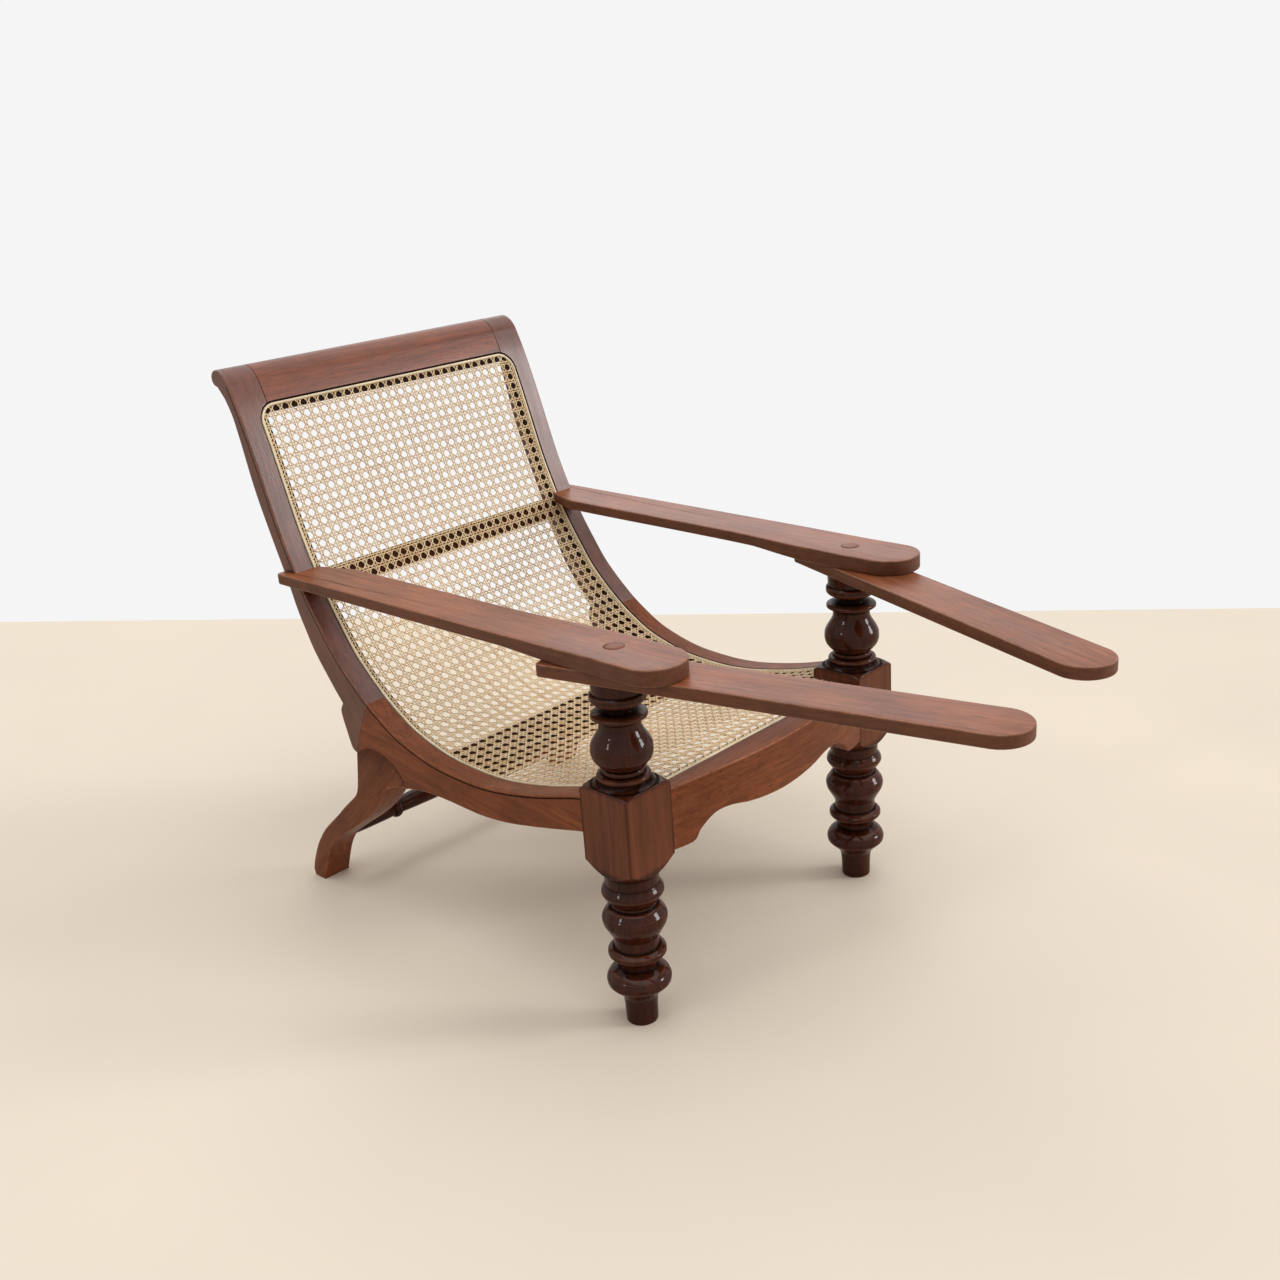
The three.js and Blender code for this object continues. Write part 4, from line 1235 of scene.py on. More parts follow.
@dataclass(frozen=True)
class CrossMembers:
    """Crest rail, front rail, lumbar rail, seat slat and turned stretcher."""

    frame: SideFrame
    crest_half: float = 256.7
    crest_corner: float = 244.0
    crest_ends: tuple = ((0.0, 0.4), (0.15, 0.12), (0.4, 0.0))
    crest_turn: float = 1.4
    crest_stations: int = 60
    rebate_shade: float = 0.97
    joint_dark: float = 0.5
    joint_reach: float = 0.5
    lumbar_height: float = 549.0
    lumbar_depth: float = 34.0
    lumbar_thickness: float = 18.0
    slat_front: float = 296.0
    slat_width: float = 96.0
    slat_thickness: float = 20.0
    band_spacing: float = 3.0
    band_easing: float = 0.8
    band_top_shade: float = 0.85
    band_stations: int = 40
    band_ends: int = 6
    front_half: float = 224.7
    front_bow: float = 22.0
    front_back: float = -6.0
    front_drop: float = 98.0
    front_easing: float = 3.0
    front_stations: int = 60
    bracket_points: int = 160
    ledge_shade: float = 0.9
    rebate_edge_shade: float = 0.3
    edge_slope: float = 0.2
    face_shares: tuple[float, float] = (0.1, 0.9)
    face_rows: int = 8
    half_block: float = 45.0
    stretcher_height: float = 99.0
    stretcher_radius: float = 17.0
    stretcher_reach: float = 703.0
    stretcher_overlap: float = 2.0
    stretcher_groove_shade: float = 0.6
    stretcher_grid: tuple[int, int] = (401, 48)
    stretcher_bend: float = 12.0
    bracket: tuple = (
        (1, 1), (0.84, 1), (0.78, 0.86), (0.7, 0.74), (0.62, 0.68), (0.5, 0.69), (0.34, 0.77),
        (0.17, 0.82), (0, 0.84),
    )
    turning: tuple = (
        (1, 0.82), (0.9, 0.86), (0.75, 0.88), (0.69, 0.86), (0.68, 1.06), (0.66, 1.14), (0.64, 1.06),
        (0.63, 0.86), (0.5, 0.93), (0.25, 1), (0, 1.02),
    )

    def crest(self) -> None:
        """The scrolled crest rail: the head's outline carried from stile to stile.

        Its ends are eased by a hair, where they meet the stiles, and it sinks by the rebate's depth.
        The rebate is painted in shade, and the ends carry a dark joint line.
        """
        back = through(SEAT.level(self.frame.stile_back), BACK_POINTS)
        low = self.frame.head_height
        outline = Outline.join(self.frame.head_parts(float(SEAT.at_height(low)), back[back[:, 1] > low]))
        half, corner = self.crest_half, self.crest_corner
        off, eased = np.array(self.crest_ends).T
        turn = np.arange(half - self.crest_turn, corner, -1.0)
        middle = np.linspace(corner - 1.0, 1.0 - corner, self.crest_stations)
        inside = np.concatenate([turn, middle, -turn[::-1]])
        across = np.concatenate([half - off, inside, off[::-1] - half])
        ease = np.concatenate([eased, np.zeros(len(inside)), eased[::-1]])
        cut = OPENING.sink(across[:, None], outline.points[:, 1]) * outline.face
        sides = np.broadcast_to(across[:, None, None], (*cut.shape, 1))
        grid = np.concatenate([sides, outline.sunk(ease[:, None] + cut)], axis=-1)
        joint = self.joint_dark * (np.abs(across) > half - self.joint_reach)
        shell = Shell()
        # painted shade in the rebate, and a dark joint line at each end
        shell.add_tube(grid, crease=np.maximum(self.rebate_shade * smoothstep(cut), joint[:, None]))
        dress(shell.build("crest"), CREST_WOOD.material(CROSS_GRAIN, "crest"), "crest_rail")

    def band(self, name: str, node: str, start: float, end: float, thickness: float) -> None:
        """A flat rail under the cane, a band of the seat line carried across.

        Args:
            name: The piece's name.
            node: The node it stands for.
            start: Length along the line where it starts.
            end: Length along the line where it ends.
            thickness: Its thickness.
        """
        top = SEAT.stretch(start, end, self.band_spacing, -OPENING.depth)
        bottom = SEAT.stretch(end, start, self.band_spacing, -OPENING.depth - thickness)
        ends = ((top[-1], bottom[0]), (bottom[-1], top[0]))
        rear, fore = (even_steps(np.stack(pair), self.band_ends)[1:-1] for pair in ends)
        ring = np.concatenate([top, rear, bottom, fore])
        corner = np.linalg.norm(np.roll(ring, -1, 0) + np.roll(ring, 1, 0) - 2 * ring, axis=1)
        eased = ring + inward(ring) * self.band_easing * smoothstep(corner / 2.0)[:, None]
        across = np.linspace(self.frame.inner, -self.frame.inner, self.band_stations)
        shape = (len(across), len(ring))
        sides = np.broadcast_to(across[:, None, None], (*shape, 1))
        shell = Shell()
        # the top, under the cane, is painted in shade
        shell.add_tube(
            np.concatenate([sides, np.broadcast_to(eased, (*shape, 2))], axis=-1),
            crease=self.band_top_shade * (np.arange(len(ring)) < len(top)),
        )
        dress(shell.build(name), FRAME_WOOD.material(CROSS_GRAIN, name), node)

    def front(self) -> None:
        """The bowed front rail with its bracketed underside.

        At each station across, a ring runs over the top from back to front, down the bowed face, and
        back along the underside; the bow is a half cosine and the underside the bracket's curve. A
        row of the ring is its y, its z, its wear and its painted shade, which falls on the ledge and
        the edge of the rebate under the cane.
        """
        bracket = np.array(self.bracket) * np.array([self.front_half, self.front_drop])
        lower = through(bracket, self.bracket_points)
        even = np.linspace(0.0, self.front_half, self.front_stations)
        stations = np.unique(np.concatenate([even, lower[:, 0]]))
        stations = np.concatenate([-stations[:0:-1], stations])
        order = np.argsort(lower[:, 0])
        drop = np.interp(np.abs(stations), lower[order, 0], lower[order, 1])
        face = -self.half_block - self.front_bow * np.cos(stations / self.front_half * np.pi / 2.0)
        top, bottom, r = SEAT.front_height, SEAT.front_height - drop, self.front_easing
        ledge, edge = top - OPENING.depth, OPENING.front
        # the ledge and the rebate's edge under the cane are painted in shade
        rows = [
            (self.front_back, bottom, 0.0, 0.0), (self.front_back, ledge, 0.0, self.ledge_shade),
            (edge + self.edge_slope, ledge, 0.0, self.ledge_shade), (edge, top, 0.0, self.rebate_edge_shade),
        ]
        eased = [
            (face + r * (1.0 - math.sin(a)), r * (1.0 - math.cos(a)), math.sin(2.0 * a)) for a in QUARTER_TURN
        ]
        rows += [(y, top - down, worn, 0.0) for y, down, worn in eased]
        shares = np.linspace(*self.face_shares, self.face_rows)
        rows += [(face, (top - r) * (1.0 - s) + (bottom + r) * s, 0.0, 0.0) for s in shares]
        rows += [(y, bottom + up, worn, 0.0) for y, up, worn in reversed(eased)]
        y, z, worn, dark = (
            np.stack([np.broadcast_to(value, stations.shape) for value in column], axis=1)
            for column in zip(*rows)
        )
        grid = np.stack([np.broadcast_to(stations[:, None], y.shape), y, z], axis=-1)
        shell = Shell()
        shell.add_tube(grid, edge=worn, crease=dark)
        material = FRAME_WOOD.material(CROSS_GRAIN, "front")
        dress(shell.build("front_bow_rail"), material, "front_rail")

    def stretcher(self) -> None:
        """The turned stretcher between the rear legs: its profile carried round an axis along X."""
        share, radius = np.array(self.turning[::-1]).T
        half = self.frame.inner + self.stretcher_overlap
        stations, sides = self.stretcher_grid
        at = np.linspace(-1.0, 1.0, stations)
        profile = monotone(share, radius, np.abs(at)) * self.stretcher_radius
        turn = np.linspace(0.0, 2.0 * np.pi, sides, endpoint=False)
        y = self.stretcher_reach + profile[:, None] * np.cos(turn)
        z = self.stretcher_height + profile[:, None] * np.sin(turn)
        grid = np.stack([np.broadcast_to(at[:, None] * half, y.shape), y, z], axis=-1)
        # painted shade in the grooves of the turning, by how the profile bends
        bend = np.gradient(np.gradient(profile))
        shell = Shell()
        shell.add_tube(grid, crease=self.stretcher_groove_shade * smoothstep(bend * self.stretcher_bend)[:, None])
        material = TURNED_WOOD.material(CROSS_GRAIN, "stretcher")
        dress(shell.build("stretcher"), material, "rear_stretcher")

    def build(self) -> None:
        """Builds and dresses the five members."""
        self.crest()
        low = float(SEAT.at_height(self.lumbar_height))
        high = float(SEAT.at_height(self.lumbar_height + self.lumbar_depth))
        self.band("lumbar_bar", "lumbar_rail", low, high, self.lumbar_thickness)
        front, back = SEAT.at_reach(self.slat_front), SEAT.at_reach(self.slat_front + self.slat_width)
        self.band("under_slat", "seat_slat", front, back, self.slat_thickness)
        self.front()
        self.stretcher()


@dataclass(frozen=True)
class FrontLeg:
    """A turned front leg with a square block and a round tenon through board and arm."""

    side: Side
    axis: float = 270.0
    half_block: float = 45.0
    block_top: float = 381.0
    block_foot: float = 268.0
    rise: float = 11.0
    turning_foot: float = 387.6
    shoulder: float = 543.4
    top: float = 587.5
    tenon: float = 14.0
    foot: float = 23.5
    foot_easing: float = 1.2
    foot_flare: float = 0.9
    arris: float = 1.1
    sides: int = 120
    sharp_angle: float = 50.0
    hollow_shade: float = 0.85
    groove_shade: float = 0.8
    arris_dark: float = 0.5
    wear: float = 0.3
    block_bare: float = 0.42
    plug_bare: float = 0.75
    fade: float = 12.0
    steps: tuple = (0.3, 0.8, 0.5, 6.0, 0.5, 0.8)
    widest_share: float = 1.06
    hollow_slope: float = 0.9
    hollow_depth: float = 11.0
    groove_bend: float = 0.04
    groove_gain: float = 3.0
    swell_bend: float = 0.02
    swell_gain: float = 4.0
    corner_share: float = 1.36
    corner_gain: float = 22.0
    bare_foot: float = 4.0
    bare_top: float = 8.0
    turned_above: float = 5.0
    fine_below: float = 2.0
    fine_above: float = 8.0
    stem_share: float = 0.1
    table_easing: float = 0.3
    table_step: float = 0.05
    plug_depth: float = 1.0
    plug_rim: tuple = ((1.4, 0.0), (0.6, 0.0), (0.1, 0.5))
    upper: tuple = (
        (1, 0.83), (0.88, 0.82), (0.85, 0.893), (0.815, 0.896), (0.79, 0.85), (0.768, 0.73),
        (0.75, 0.57), (0.735, 0.45), (0.7, 0.48), (0.682, 0.56), (0.677, 0.8), (0.662, 0.89),
        (0.64, 0.89), (0.625, 0.78), (0.6, 0.665), (0.55, 0.662), (0.5, 0.725), (0.45, 0.83),
        (0.405, 0.92), (0.36, 0.975), (0.31, 0.985), (0.26, 0.955), (0.22, 0.88), (0.185, 0.775),
        (0.16, 0.64), (0.15, 0.62), (0.14, 0.68), (0.115, 0.69), (0.1, 0.66), (0.085, 0.84),
        (0.065, 0.862), (0.04, 0.83),
    )
    lower: tuple = (
        (0.92, 0.9), (0.862, 0.87), (0.842, 0.94), (0.825, 0.995), (0.808, 1.012), (0.79, 0.965),
        (0.765, 0.86), (0.742, 0.74), (0.728, 0.745), (0.713, 0.865), (0.693, 0.95), (0.672, 1.03),
        (0.65, 1.062), (0.625, 1.042), (0.595, 0.96), (0.56, 0.84), (0.525, 0.748), (0.475, 0.735),
        (0.465, 0.84), (0.448, 0.95), (0.433, 0.955), (0.42, 0.91), (0.405, 0.75), (0.385, 0.65),
        (0.352, 0.62), (0.339, 0.72), (0.32, 0.9), (0.298, 1.01), (0.272, 1.062), (0.25, 1.045),
        (0.23, 0.95), (0.205, 0.79), (0.18, 0.66), (0.15, 0.575),
    )
    upper_shoulder: tuple = ((1.02, 0.55), (1.2, 0.4), (1.415, 0), (1.65, -1))
    lower_shoulder: tuple = ((1.65, 0.5), (1.415, 0), (1.17, -0.9), (0.97, -1.65))

    @property
    def square_foot(self) -> float:
        """The height where the block's square first shows."""
        return self.block_foot + self.lower_shoulder[-1][1] * self.rise

    def profile(self) -> tuple[np.ndarray, np.ndarray]:
        """Heights and radii of the whole turning, from the floor to the tenon's top.

        Returns:
            The heights and the radius at each.
        """
        length = self.shoulder - self.turning_foot
        upper = [(self.turning_foot + h * length, r * self.half_block) for h, r in self.upper[::-1]]
        lower = [(h * self.block_foot, r * self.half_block) for h, r in self.lower[::-1]]
        shoulders = ((self.block_foot, self.lower_shoulder), (self.block_top, self.upper_shoulder))
        bottom, head = (
            [(height + h * self.rise, r * self.half_block) for r, h in shoulder[::-1]]
            for height, shoulder in shoulders
        )
        stem = [
            (0.0, self.foot - self.foot_easing), (self.foot_easing, self.foot),
            (self.stem_share * self.block_foot, self.foot + self.foot_flare),
        ]
        marks = np.array([*stem, *lower, *bottom, *head, *upper])
        ends = (
            0.0, self.foot_easing, self.square_foot - self.fine_below, self.block_foot + self.fine_above,
            self.block_top - self.fade, self.block_top + self.fade, self.shoulder,
        )
        heights = np.concatenate([np.arange(*stretch) for stretch in zip(ends, ends[1:], self.steps)])
        radii = monotone(marks[:, 0], marks[:, 1], heights)
        tail = np.array([
            (self.shoulder, radii[-1] - self.table_easing), (self.shoulder + self.table_step, self.tenon),
            *((self.top - down, self.tenon - inset) for down, inset in self.plug_rim),
            (self.top, self.tenon / 2.0),
        ])
        return np.concatenate([heights, tail[:, 0]]), np.concatenate([radii, tail[:, 1]])

    def hollow(self, heights: np.ndarray, radii: np.ndarray) -> np.ndarray:
        """How deep each place of the turning lies between the swells beside it.

        A line falls at a steady slope from every point of the profile; the depth is from the
        highest of these lines to the profile.

        Args:
            heights: The heights of the profile.
            radii: Its radii.

        Returns:
            The depths.
        """
        swell = np.minimum(radii, self.widest_share * self.half_block)
        lines = swell - self.hollow_slope * np.abs(heights[:, None] - heights)
        return np.maximum(lines.max(axis=1) - radii, 0.0)

    def finish_marks(
        self, heights: np.ndarray, radii: np.ndarray, square: np.ndarray
    ) -> dict[str, np.ndarray]:
        """What is seen at each point of the leg.

        The turning is painted in shade in its hollows and grooves and worn on its swells, by how the
        profile bends. The block is bare between its ends, with dark arrises, and so is the plug on top.

        Args:
            heights: The heights of the profile.
            radii: Its radii.
            square: The distance from the axis to the block's side at each angle.

        Returns:
            The marks, over heights and angles.
        """
        rising = heights + TINY * np.arange(len(heights))
        bend = np.gradient(np.gradient(radii, rising), rising)
        upper = (heights > self.block_top + self.turned_above) & (heights < self.shoulder)
        turned = (heights < self.square_foot) | upper
        # painted shade in the hollows and grooves of the turning
        deep = self.hollow_shade * smoothstep(self.hollow(heights, radii) / self.hollow_depth)
        groove = self.groove_shade * smoothstep((bend - self.groove_bend) * self.groove_gain)
        crease = np.where(turned, np.maximum(deep, groove), 0.0)
        swell = turned & ~self.on_block(heights)
        worn = np.where(swell, self.wear * smoothstep((-bend - self.swell_bend) * self.swell_gain), 0.0)
        corner = smoothstep((square / self.half_block - self.corner_share) * self.corner_gain)
        above = heights - self.square_foot - self.bare_foot
        below = self.block_top + self.bare_top - heights
        bare = smoothstep(above / self.fade) * smoothstep(below / self.fade)
        tone = self.block_bare * bare + self.plug_bare * (heights > self.top - self.plug_depth)
        dark = np.maximum(crease[:, None], self.arris_dark * bare[:, None] * corner)
        return {"crease": dark, "edge": worn[:, None], "tone": tone[:, None]}

    def on_block(self, heights: np.ndarray) -> np.ndarray:
        """Which heights lie where the square can show."""
        return (heights > self.square_foot - 0.1) & (heights < self.block_top + self.rise)

    def build(self) -> None:
        """Builds and dresses the leg.

        The radius at a height and angle is the turning's, and over the block the lesser of it and
        the distance to the square's side, rounded where they meet so that arrises are eased.
        """
        heights, radii = self.profile()
        turn = np.linspace(0.0, 2.0 * np.pi, self.sides, endpoint=False) + np.pi / 4.0
        square = self.half_block / np.maximum(np.abs(np.cos(turn)), np.abs(np.sin(turn)))
        turned, on_block = radii[:, None], self.on_block(heights)[:, None]
        radius = np.where(on_block, soft_least(turned, square, self.arris), turned)
        across = self.side.value * self.axis + radius * np.cos(turn)
        upright = np.broadcast_to(heights[:, None], radius.shape)
        grid = np.stack([across, radius * np.sin(turn), upright], axis=-1)
        shell = Shell()
        shell.add_tube(grid, **self.finish_marks(heights, radii, square))
        word = self.side.word
        made = shell.build(f"turned_leg_{word}", self.sharp_angle)
        dress(made, TURNED_WOOD.material((0.0, 0.0, 1.0), f"leg_{word}"), f"front_leg_{word}")


@dataclass(frozen=True)
class HoledBoard:
    """A flat board round a pivot hole.

    One closed sheet: from the hole over the top, round the eased arris, down the side, under the
    board and up the hole's wall. Each ring is the outline moved in by the easing, and between the
    outline and the hole the rings shrink in even shares towards the hole. The rim of the hole carries a
    dark joint line, and the side below the arris and the underside are painted in shade.
    """

    outline: np.ndarray
    centre: tuple[float, float]
    hole: float
    top: float
    bottom: np.ndarray
    easing: float = 2.5
    rim: tuple = ((0.0, 0.9), (0.5, 0.6), (1.0, 0.0))
    side_grime: float = 0.55
    flat_rings: int = 6
    arris_rings: int = 6
    first_angle: float = 15.0
    hub: float = 90.0
    wear_lag: float = 0.2
    shade_start: float = 0.5
    shade_span: float = 0.6

    def add_to(self, shell: Shell) -> None:
        """Adds the board's surface to a shell.

        Args:
            shell: Where it goes.
        """
        ring, direction = self.outline, inward(self.outline)
        middle = np.array(self.centre)
        away = ring - middle
        far = np.linalg.norm(away, axis=1, keepdims=True)
        rims = [middle + away / far * (self.hole + out) for out, _ in self.rim]
        inset = ring + direction * self.easing
        shares = np.linspace(0.0, 1.0, self.flat_rings + 1)[1:]
        flat = rims + [rims[-1] * (1.0 - s) + inset * s for s in shares]
        quarter = np.radians(np.linspace(self.first_angle, 90.0, self.arris_rings))
        upper = [ring + direction * self.easing * (1.0 - math.sin(a)) for a in quarter]
        plan = np.array([*flat, *upper, *upper[::-1], *flat[::-1]])
        near = self.bottom[far[:, 0] < self.hub]
        pivot = float(np.max(near if len(near) else self.bottom))
        level = np.ones(len(ring))
        drop = [self.easing * (1.0 - math.cos(a)) for a in quarter]
        heights = [self.top * level] * len(flat) + [self.top - d * level for d in drop]
        heights += [self.bottom + d for d in reversed(drop)]
        heights += [pivot * (1.0 - s) + self.bottom * s for s in shares[::-1]] + [pivot * level] * len(rims)
        worn = [math.sin(2.0 * a - self.wear_lag) for a in quarter]
        # painted shade down the side below the arris and under the board
        dark = [smoothstep((a - self.shade_start) / self.shade_span) for a in quarter]
        shade = [self.side_grime * float(share) for share in dark]
        dark = [mark for _, mark in self.rim]
        none, under = [0.0] * self.flat_rings, [self.side_grime] * self.flat_rings
        unworn = [0.0] * len(flat)
        edge = np.clip(unworn + worn + worn[::-1] + unworn, 0.0, 1.0)
        crease = np.array(dark + none + shade + shade[::-1] + under + dark[::-1])
        grid = np.concatenate([plan, np.array(heights)[..., None]], axis=-1)
        index = shell.add_points(grid, edge=edge[:, None], crease=crease[:, None])
        shell.add_quads(index, True, True)


@dataclass(frozen=True)
class Arm:
    """A flat arm, round at the front, with a thin tongue that laps the outside of the stile."""

    side: Side
    axis: float = 270.0
    width: float = 97.0
    nose_reach: float = 120.0
    top: float = 587.0
    thickness: float = 24.0
    back_thickness: float = 18.0
    offset: float = 2.0
    tongue: float = 29.0
    tip: tuple = ((0.0, -6.0), (-2.0, -1.5), (-6.0, 0.0))
    wrap: float = 14.0
    face: float = 315.3
    bore: float = 14.3
    taper: tuple[float, float] = (0.1, 0.25)
    outer: tuple = ((0, 0.52), (0.25, 0.57), (0.5, 0.6), (0.75, 0.625), (1, 0.65))
    inner: tuple = ((0.9, -0.258), (0.7, -0.29), (0.5, -0.31), (0.29, -0.35), (0.145, -0.433), (0, -0.48))
    inner_end: float = -0.02
    nose_points: int = 60
    side_points: int = 120
    tip_points: int = 26
    wrap_points: int = 50
    join_points: int = 24

    def plan(self) -> np.ndarray:
        """The arm's outline in (x, y) for the left side: nose, outer side, tongue, wrap and inner side.

        Returns:
            (n, 2) places, closed from the last to the first.
        """
        run = self.run()
        radius = self.width / 2.0
        centre = (self.axis + self.offset, radius - self.nose_reach)
        nose = arc(centre, radius, -180.0, 0.0, self.nose_points)
        outer, inner = (
            through(np.array([(self.axis + w * self.width, r * run) for r, w in side]), self.side_points)
            for side in (self.outer, self.inner)
        )
        end = run + self.tongue
        tip = np.array([*(np.array(self.tip) + [outer[-1, 0], end]), (self.face, end)])
        inner_x = self.axis + self.inner_end * self.width
        wrap = np.array([(self.face, run + self.wrap), (inner_x, run + self.wrap), (inner_x, run)])
        ring = np.concatenate([
            nose, outer,
            even_steps(np.concatenate([outer[-1:], tip]), self.tip_points)[1:],
            even_steps(np.concatenate([tip[-1:], wrap]), self.wrap_points)[1:],
            even_steps(np.stack([wrap[-1], inner[0]]), self.join_points)[1:-1], inner,
            even_steps(np.stack([inner[-1], nose[0]]), self.join_points)[1:-1],
        ])
        return ring[apart(ring)]

    def run(self) -> float:
        """The y at which the seat line passes the arm's top.

        Returns:
            The y in millimetres.
        """
        line = SEAT.line()
        back = line[:, 0] > SEAT.back_reach / 2.0
        return float(np.interp(self.top, line[back, 1], line[back, 0]))

    def build(self) -> None:
        """Builds and dresses the arm."""
        ring = self.plan()
        share = (ring[:, 1] / self.run() - self.taper[0]) / (self.taper[1] - self.taper[0])
        bottom = self.top - self.thickness + (self.thickness - self.back_thickness) * np.clip(share, 0.0, 1.0)
        sign, word = self.side.value, self.side.word
        outline, centre = ring * np.array([sign, 1.0]), (sign * self.axis, 0.0)
        shell = Shell()
        HoledBoard(outline, centre, self.bore, self.top, bottom).add_to(shell)
        material = ARM_WOOD.material((0.0, 1.0, 0.0), f"arm_{word}")
        dress(shell.build(f"arm_{word}"), material, f"armrest_{word}")


@dataclass(frozen=True)
class LegRestBoard:
    """A leg-rest board that turns about the front leg's tenon."""

    side: Side
    axis: float = 270.0
    length: float = 570.0
    tail: float = 105.0
    width: float = 86.0
    thickness: float = 19.0
    top: float = 562.7
    corner: float = 8.0
    bore: float = 14.6
    left_angle: float = 20.0
    right_angle: float = 12.9
    tip_points: int = 70
    corner_points: int = 10
    side_points: int = 120
    end_points: int = 20

    def build(self) -> None:
        """Builds and dresses the board at the angle it was left at."""
        half = self.width / 2.0
        low, high = half - self.corner, self.tail - self.corner
        tip = arc((0.0, half - self.length), half, -180.0, 0.0, self.tip_points)
        first = arc((low, high), self.corner, 0.0, 90.0, self.corner_points)
        second = arc((-low, high), self.corner, 90.0, 180.0, self.corner_points)
        long, short = self.side_points, self.end_points
        sides = ((tip, first, long), (first, second, short), (second, tip, long))
        right, back, left = (even_steps(np.stack([a[-1], b[0]]), count)[1:-1] for a, b, count in sides)
        ring = np.concatenate([tip, right, first, back, second, left])
        angle = math.radians(-self.left_angle if self.side is Side.LEFT else self.right_angle)
        c, s = math.cos(angle), math.sin(angle)
        centre = (self.side.value * self.axis, 0.0)
        outline = ring @ np.array([[c, s], [-s, c]]) + centre
        bottom = np.full(len(ring), self.top - self.thickness)
        shell = Shell()
        HoledBoard(outline, centre, self.bore, self.top, bottom).add_to(shell)
        word = self.side.word
        material = ARM_WOOD.material((s, -c, 0.0), f"board_{word}")
        made = shell.build(f"leg_rest_{word}_board")
        dress(made, material, f"leg_rest_board_{word}", body=self.side.rest)


class Strand(Enum):
    """The four ways in which the strands of the cane run."""

    ALONG = "along"
    ACROSS = "across"
    RISING = "rising"
    FALLING = "falling"


@dataclass(frozen=True)
class CaneWeave:
    """The woven cane: pairs along and across, and two sets of diagonals that cut the squares' corners.

    All strands are worked out flat, as (across, along, height), and laid on the seat surface. A pair
    stands half a spacing either side of its line. Pairs rise and fall by a bell curve where they
    cross. A diagonal meets each pair halfway between two of its crossings, over one way of pair and
    under the other, so that every square keeps an eight-sided hole. A point of a strand's section
    is its place across in widths, its height in thicknesses and its painted shade.
    """

    pitch: float = 18.0
    pair: float = 2.05
    width: float = 1.95
    diagonal_width: float = 1.75
    thickness: float = 0.9
    lift: float = 0.75
    swing: float = 0.95
    half_span: float = 274.8
    front: float = -19.2
    level: float = -2.75
    border: float = 2.8
    block: float = 223.5
    block_back: float = 48.0
    front_slack: float = 0.5
    side_slack: float = 0.1
    knot_steps: tuple = (-9.0, -4.2, -2.05, 2.05, 4.2)
    diagonal_steps: tuple = (-9.0, -6.0, -3.0, 0.0, 3.0, 6.0)
    section: tuple = (
        (-0.5, 0.0, 0.75), (-0.28, 0.8, 0.0), (0.28, 0.8, 0.0), (0.5, 0.0, 0.75), (0.0, -0.25, 1.0),
    )
    half_columns: int = 15
    end_margin: float = 4.0
    bell_width: float = 1.9
    hold: float = 1.6
    tone: Triple = (0.5, 0.16, 0.05)
    sharp_angle: float = 70.0
    seed: int = 7

    def bell(self, distance: np.ndarray) -> np.ndarray:
        """A bell curve about a crossing, repeated at every pitch."""
        wrapped = (distance + self.pitch / 2.0) % self.pitch - self.pitch / 2.0
        return np.exp(-((wrapped / self.bell_width) ** 2))

    def kept(self, across: np.ndarray, along: np.ndarray) -> np.ndarray:
        """Whether a place lies on the sheet: within its sides, round corners and notches.

        Args:
            across: Places across the chair.
            along: Their lengths along the seat line.

        Returns:
            True for each place on the sheet.
        """
        points = SEAT.place(across, along, np.zeros_like(across))
        y, z = points[..., 1], points[..., 2]
        inside = OPENING.inside(across, z) > self.border
        ends = (y > self.front - self.front_slack) & (np.abs(across) < self.half_span + self.side_slack)
        clear = (np.abs(across) < self.block) | (y > self.block_back)
        return inside & ends & clear

    def stations(self, centres: np.ndarray, steps: tuple, low: float, high: float) -> np.ndarray:
        """Places along a strand: the same steps about every centre, held between two ends."""
        return np.unique(np.clip((centres[:, None] + np.array(steps)).ravel(), low, high))

    def paths(self, way: Strand) -> tuple[np.ndarray, np.ndarray, np.ndarray]:
        """The middle lines of all strands of one way.

        Args:
            way: Which way they run.

        Returns:
            Across, along and rise of each station, (strands, stations).
        """
        start, end = SEAT.at_reach(self.front), SEAT.at_height(OPENING.top_height) - self.end_margin
        columns = np.arange(-self.half_columns, self.half_columns + 1) * self.pitch
        rows = start + self.end_margin + np.arange(-1, int((end - start) / self.pitch) + 2) * self.pitch
        beyond = self.half_columns + 1
        crossings = np.arange(-beyond, beyond + 1) * self.pitch
        sides = np.array([-1.0, 1.0])
        if way is Strand.ALONG:
            lines = (columns[:, None] + self.pair * sides).ravel()
            run = self.stations(rows, self.knot_steps, start, end)
            wave = self.bell(run - rows[0] + self.pair) - self.bell(run - rows[0] - self.pair)
            rise = -self.lift * np.tile(sides, len(columns))[:, None] * wave
            return np.broadcast_to(lines[:, None], rise.shape), np.broadcast_to(run, rise.shape), rise
        if way is Strand.ACROSS:
            lines = (rows[:, None] + self.pair * sides).ravel()
            run = self.stations(crossings, self.knot_steps, -self.half_span, self.half_span)
            wave = self.bell(run + self.pair) - self.bell(run - self.pair)
            rise = self.lift * np.tile(sides, len(rows))[:, None] * wave
            return np.broadcast_to(run, rise.shape), np.broadcast_to(lines[:, None], rise.shape), rise
        slope = 1.0 if way is Strand.RISING else -1.0
        run = self.stations(crossings, self.diagonal_steps, crossings[0], crossings[-1])
        first = rows[0] + (np.arange(-beyond, len(rows) + beyond) + 0.5) * self.pitch
        rise = slope * self.swing * np.clip(self.hold * np.cos(2.0 * np.pi * run / self.pitch), -1.0, 1.0)
        along = first[:, None] + slope * run
        return np.broadcast_to(run, along.shape), along, np.broadcast_to(rise, along.shape)

